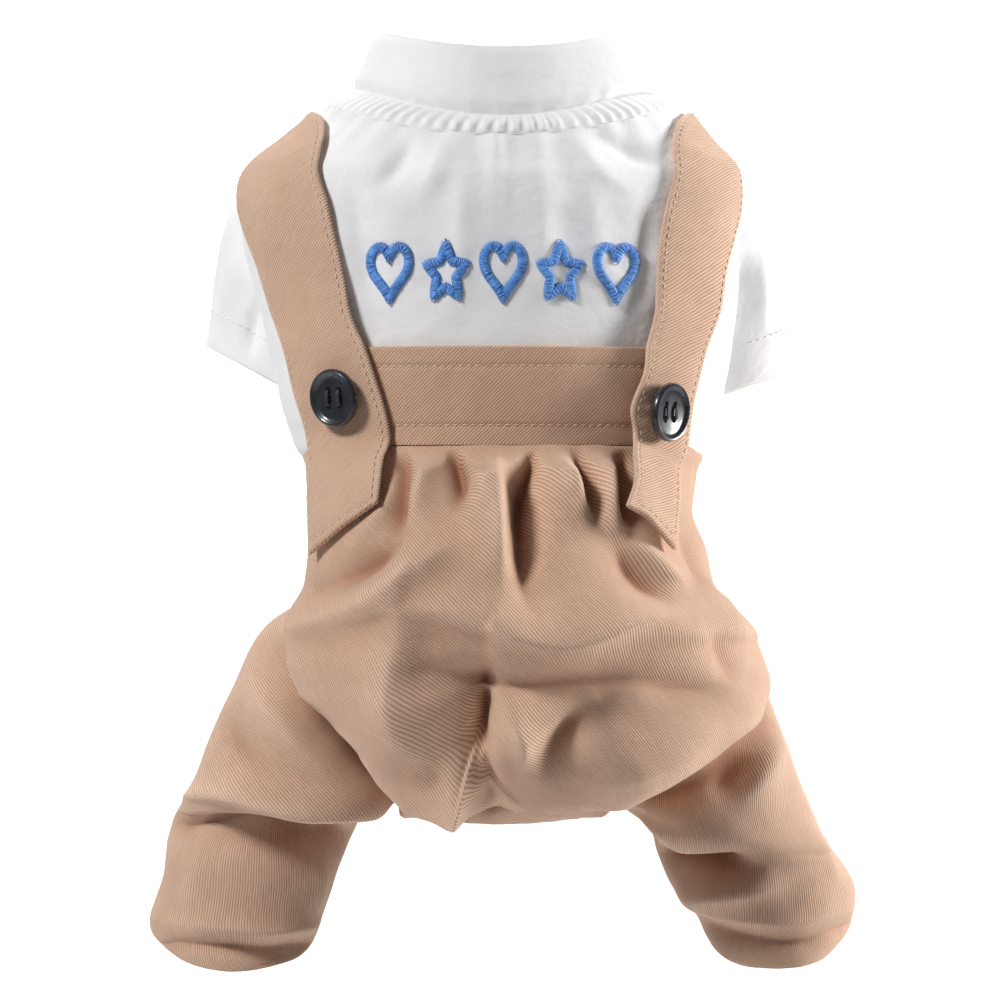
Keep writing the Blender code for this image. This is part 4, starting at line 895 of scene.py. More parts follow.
def standing_out(points, around):
    """How far each point stands out of the cloth around it, from 0 deep in a fold to 1 high on a crest."""
    smoothed = softened(points, around, FOLD_BLUR)
    height = ((points - smoothed) * grid_normals(smoothed, around)).sum(axis=-1)
    return np.clip(0.5 + height / (2 * FOLD_HEIGHT), 0, 1)


def round_angles(count):
    """Angles once round, starting at the middle of the belly, with the back's in the middle column."""
    return np.linspace(-HALF_TURN, HALF_TURN, count, endpoint=False)


def limb_grid(rows, sizes, side, columns, lines):
    """The outside of a limb on one side as a grid."""
    angle, place = np.meshgrid(round_angles(columns), np.linspace(0, len(rows) - 1, lines))
    return limb(rows, sizes, side, side * angle, place)


def seat_angles(count):
    """Angles once round the seat, closer together across the back, where the folds are."""
    share = np.linspace(-1, 1, count, endpoint=False)
    return HALF_TURN * (0.45 * share + 0.55 * share**3)


def linked(name, data):
    obj = bpy.data.objects.new(name, data)
    bpy.context.scene.collection.objects.link(obj)
    return obj


def new_object(name, mesh, finish):
    obj = linked(name, mesh)
    mesh.materials.append(finish)
    mesh.shade_smooth()
    return obj


def raw_mesh(name, points, corners):
    """A mesh of faces that all have the same number of corners, without the points that none of them uses."""
    used, renumbered = np.unique(corners, return_inverse=True)
    mesh = bpy.data.meshes.new(name)
    mesh.vertices.add(len(used))
    mesh.vertices.foreach_set("co", points.reshape(-1, 3)[used].astype(np.float32).ravel())
    mesh.loops.add(corners.size)
    mesh.loops.foreach_set("vertex_index", renumbered.astype(np.int32).ravel())
    mesh.polygons.add(len(corners))
    mesh.polygons.foreach_set("loop_start", np.arange(0, corners.size, corners.shape[1], dtype=np.int32))
    mesh.update(calc_edges=True)
    return mesh


def grid_faces(shape, around, keep=None):
    """The rows and columns of a grid's faces, and each one's four corners. keep says which faces stay."""
    rows, columns = shape[:2]
    row, column = np.indices((rows - 1, columns if around else columns - 1))
    if keep is not None:
        row, column = row[keep], column[keep]
    row, column = row.ravel(), column.ravel()
    beside = (column + 1) % columns
    here, under = row * columns, (row + 1) * columns
    return row, column, np.stack([here + column, under + column, under + beside, here + beside], axis=1)


def grid_object(name, points, weave, finish, around=True, keep=None):
    """A grid of cloth that holds at each corner its place on the flat cloth and how far it stands out."""
    row, column, corners = grid_faces(points.shape, around, keep)
    mesh = raw_mesh(name, points, corners)
    places = [weave[row + down, column + over] for down, over in ((0, 0), (1, 0), (1, 1), (0, 1))]
    attribute = mesh.attributes.new("weave", "FLOAT_VECTOR", "CORNER")
    attribute.data.foreach_set("vector", np.stack(places, axis=1).astype(np.float32).ravel())
    # The twill uses this to paint shade into folds, darker and redder, and to pale its crests as rubbed wear
    worn = standing_out(points, around).ravel()[corners]
    attribute = mesh.attributes.new("worn", "FLOAT", "CORNER")
    attribute.data.foreach_set("value", worn.astype(np.float32).ravel())
    return new_object(name, mesh, finish)


def turned_under(points, thickness, depth):
    """A tube of cloth with its last row folded over to the inside, and back up inside by a number of rows."""
    normals = softened(grid_normals(points, True), True, 2)
    edge, outwards = points[-1], normals[-1]
    ahead = unit(edge - points[-4])
    fold = []
    for angle in np.radians([35, 75, 105, 145]):
        fold.append(edge + thickness / 2 * (ahead * math.sin(angle) - outwards * (1 - math.cos(angle))))
    inner = (points - thickness * normals)[::-1][:depth]
    return np.concatenate([points, np.stack(fold), inner])


def grid_tree(points, around=True):
    """A grid as a tree for rays and nearest places."""
    faces = grid_faces(points.shape, around)[2]
    return BVHTree.FromPolygons(points.reshape(-1, 3).tolist(), faces.tolist())


def inside_tube(tree, points, margin):
    """Which points of a grid lie inside a tube of cloth by at least a margin."""
    inside = np.zeros(points.shape[:2], bool)
    for place in np.ndindex(inside.shape):
        point = Vector(points[place])
        found, normal, _, _ = tree.find_nearest(point, NEAR_ENOUGH)
        inside[place] = found is not None and (point - found).dot(normal) < -margin
    return inside


def limb_cloth(points, body, margin, thickness, depth):
    """A limb's cloth turned under at its end, and which of its faces stay outside the body's cloth."""
    hidden = inside_tube(body, points, margin)
    whole = turned_under(points, thickness, depth)
    inner = np.zeros((len(whole) - len(points), points.shape[1]), bool)
    return whole, faces_outside(np.concatenate([hidden, inner]))


def faces_outside(inside):
    """Which faces of a grid that closes round have a corner outside."""
    outside = ~inside
    beside = np.roll(outside, -1, axis=1)
    return outside[:-1] | outside[1:] | beside[:-1] | beside[1:]


def tucked_under(points, base, covers, gap):
    """Cloth pressed back wherever it would come through what lies over it. base is the same grid unfolded."""
    normals = grid_normals(base, True)
    moved = points.copy()
    for place in np.ndindex(points.shape[:2]):
        outwards = Vector(normals[place])
        for tree in covers:
            point = Vector(moved[place])
            start = point - outwards * PRESS_REACH
            found, _, _, distance = tree.ray_cast(start, outwards, 2 * PRESS_REACH)
            if found is not None and distance < PRESS_REACH + gap:
                moved[place] = np.array(point - outwards * (PRESS_REACH + gap - distance))
    return points + softened(moved - points, True, 3)


def ribs(angle, count, seed):
    """Uneven gathers round a casing, from 0 in their valleys to 1 on their crests."""
    places = outwards_round(angle)
    drift = lattice_noise(places, 0.23, seed)
    tall = 0.74 + 0.26 * lattice_noise(places, 0.09, seed + 1)
    return tall * (0.5 + 0.5 * np.cos(count * angle + 2.4 * drift)) ** 0.9


def dress(obj, slot, *nodes):
    """A piece rides with the part and stands for the solids it replaces. slot is not used."""
    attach(obj, "root")
    if nodes:
        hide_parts(*nodes)
    return obj


def collar():
    """The stand collar, a doubled cloth folded at its rim."""
    angle, share = np.meshgrid(round_angles(COLLAR_COLUMNS), np.linspace(1, 0, COLLAR_LINES))
    row = smooth(COLLAR_ROWS, "height", share)
    width = NECK_HALF_WIDTH + (COLLAR_TOP_HALF_WIDTH - NECK_HALF_WIDTH) * row.top
    back = NECK_BACK + (COLLAR_TOP_BACK - NECK_BACK) * row.top
    belly = NECK_BELLY + (COLLAR_TOP_BELLY - NECK_BELLY) * row.top
    x, y = oval(angle, *[size * (1 + row.bulge) for size in (width, width, back, belly)])
    z = trunk(angle, 0 * share)[..., 2] + share * (COLLAR_HEIGHT - COLLAR_SIDE_LOSS * np.sin(angle) ** 2)
    wall = creased(np.stack([x, y, z], axis=-1), COLLAR_CREASES, crumple=0.0004, seed=11, hold_bottom=0.1)
    gather = ribs(angle, NECK_RIBS, 5) * ease(share, 0.45, 0.0)
    wall = wall + 0.0004 * gather[..., None] * outwards_round(angle)
    outwards = softened(grid_normals(wall, True), True, 2)
    rim = []
    for angle_over in np.radians([150, 115, 80, 45, 20]):
        over = np.array([0, 0, math.sin(angle_over)]) - outwards[0] * (1 - math.cos(angle_over))
        rim.append(wall[0] + COLLAR_CLOTH / 2 * over)
    points = np.concatenate([(wall - COLLAR_CLOTH * outwards)[::-1], np.stack(rim), wall])
    obj = grid_object("collar_cloth", points, woven(points, True, 0), cotton())
    dress(obj, "white_cotton", "collar")


def neck_casing():
    """The elastic casing under the collar, gathered into uneven ribs that flatten out at its top and bottom
    edges.
    """
    angle, share = np.meshgrid(round_angles(CASING_COLUMNS), np.linspace(-0.06, 1.05, 26))
    points = trunk(angle, np.clip(share, 0, 2) * casing_drop(angle))
    points[..., 2] -= np.minimum(share, 0) * NECK_CASING_HEIGHT
    full = np.clip(np.sin(HALF_TURN * np.clip(share, 0, 1)), 0, 1) ** 0.6
    rise = full * (0.0001 + 1.3 * RIB_HEIGHT * ribs(angle, NECK_GATHERS, 5)) + 0.0003
    points = points + rise[..., None] * outwards_round(angle)
    obj = grid_object("neck_casing_cloth", points, woven(points, True, 0), cotton())
    dress(obj, "white_cotton", "neck_casing")


def shirt_base(angle, share):
    """The shirt's body without folds, at shares of the way from the neck casing to the hem."""
    top = casing_drop(angle)
    return trunk(angle, top + (TRUNK_ROWS[-1].drop - top) * share)


def shirt_body(covers):
    """The shirt's body, its armholes open to the sleeves."""
    angle, share = np.meshgrid(round_angles(SHIRT_COLUMNS), np.linspace(0, 1, SHIRT_LINES))
    base = shirt_base(angle, share)
    points = creased(base, SHIRT_CREASES, crumple=0.00085, seed=21, hold_top=0.03)
    fade = ease(share, 0.13, 0.0)
    points = points + (RIB_HEIGHT * fade * ribs(angle, NECK_RIBS, 5))[..., None] * outwards_round(angle)
    points = tucked_under(points, base, covers, SEAM_GAP / 2)
    weave = woven(points, True, 0)
    inside = [inside_tube(sleeve_tree(side), points, SLEEVE_DEPTH) for side in (-1, 1)]
    inside = (inside[0] | inside[1]) & (points[..., 2] > -ARMPIT_DROP)
    obj = grid_object("shirt_body_cloth", points, weave, cotton(), keep=faces_outside(inside))
    dress(obj, "white_cotton", "shirt_body")
    return obj


def sleeve_grid(side, columns, lines):
    rows = LEFT_SLEEVE_ROWS if side < 0 else RIGHT_SLEEVE_ROWS
    sizes = SLEEVE_REACH, SLEEVE_FORWARD, SLEEVE_DROP, SLEEVE_RADIUS
    return limb_grid(rows, sizes, side, columns, lines)


def sleeve_tree(side):
    return grid_tree(sleeve_grid(side, 48, 40))


def sleeves():
    """The short sleeves with their turned hems."""
    chest = grid_tree(trunk(*np.meshgrid(round_angles(90), np.linspace(0, TRUNK_ROWS[-1].drop, 70))))
    for name, side, creases in (("left", -1, LEFT_SLEEVE_CREASES), ("right", 1, RIGHT_SLEEVE_CREASES)):
        base = sleeve_grid(side, SLEEVE_COLUMNS, SLEEVE_LINES)
        points = creased(base, creases, crumple=0.0006, seed=31 + side, hold_bottom=0.08)
        whole, keep = limb_cloth(points, chest, CHEST_DEPTH, SHIRT_CLOTH, 16)
        obj = grid_object(f"sleeve_{name}_cloth", whole, woven(whole, True, 0), cotton(), keep=keep)
        dress(obj, "white_cotton", f"sleeve_{name}")
        hem = -round(SLEEVE_LINES * SLEEVE_HEM_SHARE)
        lines = [(points[hem], grid_normals(points, True)[hem], True)]
        stitches(f"sleeve_{name}_stitches", lines, thread("white_thread"), "white_cotton")


def seat_grid(columns, lines, relief):
    angle, drop = np.meshgrid(seat_angles(columns), np.linspace(0, tail_share(), lines))
    return angle, drop, seat(angle, drop, relief)


def tail_share():
    return 1 - (TAIL_CASING_HEIGHT + SEAM_GAP) / SEAT_DROP


def trousers_seat(covers):
    """The gathered seat with its pleats, rolls and lobes, its leg holes open to the legs."""
    angle, drop, base = seat_grid(SEAT_COLUMNS, SEAT_LINES, False)
    points = creased(base, SEAT_CREASES, crumple=0.0004, seed=41, hold_top=0.05, hold_bottom=0.05)
    away = 1 - ease(np.cos(angle), -0.1, 0.5)
    pleats = 0.0030 * away * ease(drop, 0.42, 0.0) * ease(drop, 0.0, 0.05) * ribs(angle, 16, 43)
    tail = 0.0016 * ease(drop, 0.80, 1.0) * ribs(angle, TAIL_RIBS, 47)
    points = points + (pleats + tail)[..., None] * outwards_round(angle)
    across, _ = picture(points)
    for hang in SEAT_HANGS:
        beside = np.exp(-(((across - hang.across) / hang.width) ** 2)) * ease(np.cos(angle), 0.2, 0.6)
        low = beside * ease(drop, hang.start, 1.0)
        points = points + MM * low[..., None] * (hang.out * outwards_round(angle) - [0, 0, hang.down])
    highest = base[..., 2] + 0.0002 + 0.012 * ease(drop, 0.02, 0.22)
    points[..., 2] = np.minimum(points[..., 2], highest)
    points = tucked_under(points, base, covers, SEAM_GAP)
    inside = inside_tube(leg_tree(-1), points, HIDDEN_DEPTH) | inside_tube(leg_tree(1), points, HIDDEN_DEPTH)
    shirt = trunk(angle[0], waist_seam(angle[0]) / WAIST_DROP) + 0.5 * SEAM_GAP * outwards_round(angle[0])
    lip = [points[0] + (shirt - points[0]) * [part, part, 0] + [0, 0, rise] for part, rise in SEAT_LIP]
    weave = woven(np.concatenate([np.stack(lip), base]), True, SEAT_WALES)
    points = np.concatenate([np.stack(lip), points])
    inside = np.concatenate([np.zeros((len(lip), SEAT_COLUMNS), bool), inside])
    obj = grid_object("trousers_seat_cloth", points, weave, twill(), keep=faces_outside(inside))
    dress(obj, "sand_twill", "trousers_seat")
    return obj


def tail_casing():
    """The elastic casing round the tail opening."""
    start = tail_share()
    angle, share = np.meshgrid(round_angles(CASING_COLUMNS), np.linspace(-0.7, 1, 34))
    points = seat(angle, start + (1 - start) * share)
    rise = 1.6 * RIB_HEIGHT * ribs(angle, TAIL_RIBS, 47) - TAIL_TUCK
    points = points + rise[..., None] * outwards_round(angle)
    points[..., 2] += TAIL_LIFT * ease(np.cos(angle), 0.0, 0.8)
    points = turned_under(points, TWILL_CLOTH, 20)
    obj = grid_object("tail_casing_cloth", points, woven(points, True, 40), twill())
    dress(obj, "sand_twill", "tail_casing")


def leg_grid(side, columns, lines):
    rows = LEFT_LEG_ROWS if side < 0 else RIGHT_LEG_ROWS
    sizes = LEG_REACH, LEG_RADIUS, LEG_DROP, LEG_RADIUS
    return limb_grid(rows, sizes, side, columns, lines)


def leg_tree(side):
    return grid_tree(leg_grid(side, 60, 60))


def legs():
    """The baggy legs, rolled at the knee and turned under at the cuff."""
    hips = grid_tree(seat_grid(100, 80, True)[2])
    for name, side, creases in (("left", -1, LEFT_LEG_CREASES), ("right", 1, RIGHT_LEG_CREASES)):
        base = leg_grid(side, LEG_COLUMNS, LEG_LINES)
        points = creased(base, creases, crumple=0.0007, seed=51 + side)
        whole, keep = limb_cloth(points, hips, HIDDEN_DEPTH, TWILL_CLOTH, 14)
        knee = round(LEG_LINES * KNEE_SHARE)
        laid = np.concatenate([base, whole[len(points) :]])
        thigh, shin = woven(laid[: knee + 1], True, THIGH_WALES), woven(laid[knee:], True, SHIN_WALES)
        weave = np.concatenate([thigh[:-1], shin]) if side < 0 else woven(laid, True, RIGHT_LEG_WALES)
        obj = grid_object(f"leg_{name}_cloth", whole, weave, twill(), keep=keep)
        dress(obj, "sand_twill", f"leg_{name}")


def ribbon(face, thickness, wale_angle, grooves):
    """A flat doubled strip of cloth with rounded edges. face is its outside, as a grid from edge to edge.

    grooves are pairs of shares across the strip and widths of the dents that its stitches pull into it.
    """
    lines, columns = face.shape[:2]
    normals = softened(grid_normals(face, False), False, 2)
    across = np.linspace(0, 1, columns)
    full = (1 - np.abs(2 * across - 1) ** 14) ** 0.5
    width = np.linalg.norm(np.diff(face, axis=1), axis=-1).sum(axis=1)[:, None]
    reached = reached_along(face[:, columns // 2])[:, None]
    to_end = np.minimum(reached, reached[-1] - reached)
    round_end = np.sqrt(np.clip(1 - (1 - np.clip(to_end / thickness * 2, 0, 1)) ** 2, 0, 1))
    full = full[None] * round_end
    dent = np.zeros((lines, columns))
    for edge in (across[None] * width, (1 - across[None]) * width):
        dent = dent + np.exp(-(((edge - STITCH_INSET) / STRAP_DENT_WIDTH) ** 2))
    for line in grooves:
        dent = dent + np.exp(-(((reached - line) / STRAP_DENT_WIDTH) ** 2))
    uneven = waves(face, RIBBON_WAVES, 61)
    rise = thickness / 2 * full - STRAP_DENT_DEPTH * np.clip(dent, 0, 1) * full + uneven * full
    middle = face - normals * thickness / 2
    top = middle + normals * rise[..., None]
    under = (middle - normals * (thickness / 2 * full)[..., None])[:, -2:0:-1]
    points = np.concatenate([top, under], axis=1)
    weave = woven(points, True, wale_angle)
    return points, weave, top, normals


def strap_face(side):
    """The outside of a strap as a grid whose columns run towards +X on the back."""
    last = len(LEFT_STRAP_ROWS + BELLY_STRAP_ROWS) - 1
    rows = np.concatenate([np.arange(FLAP_ROWS), np.arange(FLAP_ROWS, last + 0.1, 0.5)])
    across, place = np.meshgrid(np.linspace(0, 1, STRAP_KNOTS), rows)
    knots = strap_points(side, place, across)
    along = np.concatenate([np.linspace(0, 0.12, 10)[:-1], np.linspace(0.12, len(rows) - 1, STRAP_LINES)])
    edge = (1 - np.cos(HALF_TURN * np.linspace(0, 1, STRAP_COLUMNS))) / 2
    spread = 0.35 * edge + 0.65 * np.linspace(0, 1, STRAP_COLUMNS)
    lines = drawn_out(knots, along).swapaxes(0, 1)
    points = drawn_out(lines, spread * (STRAP_KNOTS - 1)).swapaxes(0, 1)
    return points if side < 0 else points[:, ::-1]


def straps():
    """The two shoulder straps with their topstitching; returns what lies under them as trees."""
    covers = []
    for name, side, wale in (("left", -1, LEFT_STRAP_WALES), ("right", 1, RIGHT_STRAP_WALES)):
        face = strap_face(side)
        points, weave, top, normals = ribbon(face, STRAP_CLOTH, wale, grooves=(STITCH_INSET,))
        obj = grid_object(f"strap_{name}_cloth", points, weave, twill())
        dress(obj, "sand_twill", f"strap_{name}")
        covers.append(grid_tree(face - normals * STRAP_CLOTH, around=False))
        seams = edge_lines(top, normals, STITCH_INSET)
        stitches(f"strap_{name}_stitches", seams, thread("cream_thread"), "sand_twill")
    return covers


def edge_lines(top, normals, inset):
    """Lines of stitches inside both edges and the first end of a strip."""
    across = reached_along(top, axis=1)
    reached = reached_along(top[:, top.shape[1] // 2])
    first = int(np.argmax(reached > inset))
    lines = []
    for near in (True, False):
        wanted = np.full(len(top), inset) if near else across[:, -1] - inset
        column = np.array([np.argmax(row > want) for row, want in zip(across, wanted)])
        column = np.clip(column, 1, top.shape[1] - 1)
        index = np.arange(len(top))
        before, after = across[index, column - 1], across[index, column]
        share = ((wanted - before) / np.maximum(after - before, 1e-9))[:, None]
        place = top[index, column - 1] * (1 - share) + top[index, column] * share
        lines.append((place[first:], normals[index, column][first:], False))
    inner = (across[first] > inset) & (across[first] < across[first, -1] - inset)
    lines.append((top[first][inner], normals[first][inner], False))
    return lines


def band():
    """The twill band across the back with its two rows of stitches; returns what lies under it as a tree."""
    angle, share = np.meshgrid(
        np.linspace(-BAND_HALF_ANGLE, BAND_HALF_ANGLE, BAND_COLUMNS), np.linspace(0, 1, BAND_LINES)
    )
    points = trunk(angle, 1 - (1 - share) * BAND_SHOWN / WAIST_DROP)
    away = [(share - line) * BAND_SHOWN / BAND_DENT_WIDTH for line in BAND_STITCH_LINES]
    dents = sum(np.exp(-(distance**2)) for distance in away)
    outside = SEAM_GAP + BAND_CLOTH + waves(points, BAND_WAVES, 71) - BAND_DENT_DEPTH * dents
    face = points + outside[..., None] * outwards_round(angle)
    lip = [face[0] - outwards_round(angle[0]) * BAND_CLOTH * part for part in (1.0, 0.75, 0.45, 0.2)]
    roll = np.array([0, 0, 0.0004])
    lip = np.stack([row + roll * rise for row, rise in zip(lip, (0.2, 0.7, 1.0, 0.8))])
    whole = np.concatenate([lip, face])
    obj = grid_object("waist_band_cloth", whole, woven(whole, False, BAND_WALES), twill(), around=False)
    dress(obj, "sand_twill", "waist_band")
    normals = grid_normals(face, False)
    rows = [round(line * (BAND_LINES - 1)) for line in BAND_STITCH_LINES]
    lines = [(face[row], normals[row], False) for row in rows]
    stitches("waist_band_stitches", lines, thread("cream_thread"), "sand_twill")
    return grid_tree(points + SEAM_GAP * outwards_round(angle), around=False)


def tubes(name, paths, radius, sides, finish, flatten=1.0):
    """Round threads, tapered at their ends, along paths: an array of thread by place by coordinate."""
    paths = np.asarray(paths, float)
    count, length = paths.shape[:2]
    ahead = unit(np.gradient(paths, axis=1))
    outwards = paths * [1, 1, 0] + [0, 0, 1e-6]
    aside = unit(np.cross(ahead, outwards))
    upwards = np.cross(aside, ahead)
    place = np.linspace(-1, 1, length)
    taper = np.sqrt(np.clip(1 - np.abs(place) ** 5, 0.02, 1))[None, :, None]
    turn = np.linspace(0, FULL_TURN, sides, endpoint=False)
    rings = []
    for angle in turn:
        way_out = aside * math.cos(angle) + flatten * upwards * math.sin(angle)
        rings.append(paths + radius * taper * way_out)
    points = np.stack(rings, axis=2)
    number, along, side = np.indices((count, length - 1, sides))
    beside = (side + 1) % sides
    first = (number * length + along) * sides
    corners = np.stack([first + side, first + beside, first + sides + beside, first + sides + side], axis=-1)
    return new_object(name, raw_mesh(name, points, corners.reshape(-1, 4)), finish)


def stitches(name, lines, finish, slot):
    """Short stitches along lines, each a line of places, the way out of the cloth there, and if it closes."""
    paths = []
    for places, outwards, closed in lines:
        if closed:
            places = np.concatenate([places, places[:1]])
            outwards = np.concatenate([outwards, outwards[:1]])
        reached = reached_along(places)
        count = int(reached[-1] / STITCH_PITCH)
        starts = (np.arange(count) + 0.15) * reached[-1] / max(count, 1)
        share = np.linspace(0, 1, 7)
        at = starts[:, None] + share[None] * STITCH_LENGTH
        out = placed_along(at, reached, outwards)
        arch = STITCH_RADIUS * (1.5 * np.sin(HALF_TURN * share) - 0.6)
        paths.append(placed_along(at, reached, places) + out * arch[None, :, None])
    obj = tubes(name, np.concatenate(paths), STITCH_RADIUS, 6, finish)
    dress(obj, slot)
    return obj


def star_line(count):
    """Points round a five-pointed star one unit high, its corners slightly rounded."""
    tips = np.linspace(0, FULL_TURN, 10, endpoint=False)
    radius = np.where(np.arange(10) % 2, 0.26, 0.55)
    corners = np.stack([radius * np.sin(tips), radius * np.cos(tips)], axis=-1)
    closed = np.concatenate([corners, corners[:1]])
    at = np.linspace(0, 10, count, endpoint=False)
    return rounded_off(placed_along(at, np.arange(11), closed), 4)


def evenly(line, step):
    """Points an even step apart round a closed line, and the way ahead at each."""
    closed = np.concatenate([line, line[:1]])
    reached = reached_along(closed)
    count = int(reached[-1] / step)
    at = np.linspace(0, reached[-1], count, endpoint=False)
    points = placed_along(at, reached, closed)
    return points, unit(np.roll(points, -2, axis=0) - np.roll(points, 2, axis=0))


def motifs(shirt):
    """The embroidered outlines, each of close satin stitches laid across its line."""
    tree = BVHTree.FromObject(shirt, bpy.context.evaluated_depsgraph_get())
    size = np.array([MOTIF_WIDTH, MOTIF_HEIGHT]) - MOTIF_STROKE
    for number in range(5):
        kind = "star" if number % 2 else "heart"
        line = (star_line(400) if number % 2 else heart_outline(400)) * size
        line = line + [(number - 2) * MOTIF_PITCH, -MOTIF_DROP]
        middle, ahead = evenly(line, SATIN_PITCH)
        ahead = unit(rounded_off(ahead, SATIN_CORNER))
        level, slant = math.cos(SATIN_SLANT), math.sin(SATIN_SLANT)
        turned = np.array([[level, slant], [-slant, level]])
        aside = np.stack([ahead[:, 1], -ahead[:, 0]], axis=-1) @ turned
        share = np.linspace(-1, 1, 9)
        flat = middle[:, None] + aside[:, None] * share[None, :, None] * MOTIF_STROKE / 2
        uneven = 1 + 0.22 * np.random.default_rng(number).uniform(-1, 1, len(middle))
        paths = np.zeros(flat.shape[:2] + (3,))
        for place in np.ndindex(flat.shape[:2]):
            across, height = flat[place]
            found, normal, _, _ = tree.ray_cast(Vector((across, -0.2, height)), Vector((0, 1, 0)))
            arch = SATIN_HEIGHT * uneven[place[0]] * math.sqrt(max(1 - share[place[1]] ** 2, 0.0))
            paths[place] = np.array(found + normal * (arch - 0.3 * SATIN_RADIUS))
        obj = tubes(f"{kind}_{number}_satin", paths, SATIN_RADIUS, 5, thread("blue_satin"), flatten=0.8)
        dress(obj, "blue_thread", f"stitched_{kind}_{number}")


def buttons():
    """Glossy four-hole buttons with a raised rim, each held by two dark bars of thread."""
    rim = BUTTON_RADIUS - BUTTON_RIM_WIDTH
    dish = BUTTON_THICKNESS - BUTTON_DISH_DEPTH
    profile = [
        (0.0, 0.0),
        (0.78 * BUTTON_RADIUS, 0.0),
        (0.93 * BUTTON_RADIUS, 0.12 * BUTTON_THICKNESS),
        (0.985 * BUTTON_RADIUS, 0.30 * BUTTON_THICKNESS),
        (BUTTON_RADIUS, 0.52 * BUTTON_THICKNESS),
        (0.992 * BUTTON_RADIUS, 0.76 * BUTTON_THICKNESS),
        (0.965 * BUTTON_RADIUS, 0.93 * BUTTON_THICKNESS),
        (0.93 * BUTTON_RADIUS, BUTTON_THICKNESS),
        (0.89 * BUTTON_RADIUS, 0.985 * BUTTON_THICKNESS),
        (rim + 0.0003, dish + 0.62 * BUTTON_DISH_DEPTH),
        (rim - 0.0001, dish + 0.22 * BUTTON_DISH_DEPTH),
        (rim - 0.0006, dish + 0.04 * BUTTON_DISH_DEPTH),
        (rim * 0.80, dish - 0.00005),
        (rim * 0.45, dish - 0.0003),
        (0.0, dish - 0.0004),
    ]
    for name, side, place_across, drop, turn_out in (
        ("left", -1, LEFT_BUTTON_ACROSS, LEFT_BUTTON_DROP, LEFT_BUTTON_TURN),
        ("right", 1, RIGHT_BUTTON_ACROSS, RIGHT_BUTTON_DROP, RIGHT_BUTTON_TURN),
    ):
        middle, normal = strap_frame(side, place_across, drop)
        normal = Matrix.Rotation(side * turn_out, 3, "Z") @ normal
        lift = SEAM_GAP + BUTTON_TURN_LIFT * BUTTON_RADIUS * math.sin(turn_out)
        upright = (Vector((0, 0, 1)) - normal * normal.z).normalized()
        frame_turn = Matrix((upright.cross(normal), upright, normal)).transposed()
        place = Matrix.Translation(middle + normal * lift) @ frame_turn.to_4x4()
        work = bmesh.new()
        line = [work.verts.new((radius, 0.0, height)) for radius, height in profile]
        edges = [work.edges.new(pair) for pair in zip(line, line[1:])]
        bmesh.ops.spin(work, geom=line + edges, cent=(0, 0, 0), axis=(0, 0, 1), angle=FULL_TURN, steps=96)
        bmesh.ops.remove_doubles(work, verts=work.verts, dist=1e-6)
        bmesh.ops.recalc_face_normals(work, faces=work.faces)
        mesh = bpy.data.meshes.new("button_blank")
        work.to_mesh(mesh)
        work.free()
        blank = new_object("button_blank", mesh, button_gloss())
        holes = bmesh.new()
        spots = [(x, y) for x in (-0.5, 0.5) for y in (-0.5, 0.5)]
        for x, y in spots:
            middle_of_hole = (x * BUTTON_HOLE_SPACING, y * BUTTON_HOLE_SPACING, 0.5 * BUTTON_THICKNESS)
            at = Matrix.Translation(middle_of_hole)
            bmesh.ops.create_cone(
                holes, cap_ends=True, segments=24, radius1=BUTTON_HOLE_RADIUS, radius2=BUTTON_HOLE_RADIUS,
                depth=2 * BUTTON_THICKNESS, matrix=at,
            )
        hole_mesh = bpy.data.meshes.new("button_holes")
        holes.to_mesh(hole_mesh)
        holes.free()
        cutter = new_object("button_holes", hole_mesh, button_gloss())
        drill = blank.modifiers.new("holes", "BOOLEAN")
        drill.operation = "DIFFERENCE"
        drill.solver = "EXACT"
        drill.object = cutter
        graph = bpy.context.evaluated_depsgraph_get()
        finished = bpy.data.meshes.new_from_object(blank.evaluated_get(graph))
        bpy.data.objects.remove(blank)
        bpy.data.objects.remove(cutter)
        finished.materials.clear()
        finished.transform(place)
        button = new_object(f"button_{name}_gloss", finished, button_gloss())
        finished.set_sharp_from_angle(angle=math.radians(40))
        dress(button, "black_button", f"button_{name}")
        share = np.linspace(-1, 1, 13)
        paths = []
        for x in (-0.5, 0.5):
            for strand in (-1.0, -0.33, 0.33, 1.0):
                across_bar = x * BUTTON_HOLE_SPACING + strand * 0.00042
                height = dish + 0.0006 * np.sqrt(np.clip(1 - np.abs(share) ** 3, 0, 1))
                height = height - 0.0005 * np.abs(share) ** 6
                bar = np.stack([0 * share + across_bar, share * BUTTON_HOLE_SPACING * 0.62, height], axis=-1)
                paths.append([tuple(place @ Vector(point)) for point in bar])
        bars = tubes(f"button_{name}_thread", paths, 0.00026, 8, thread("dark_thread"))
        dress(bars, "black_button")


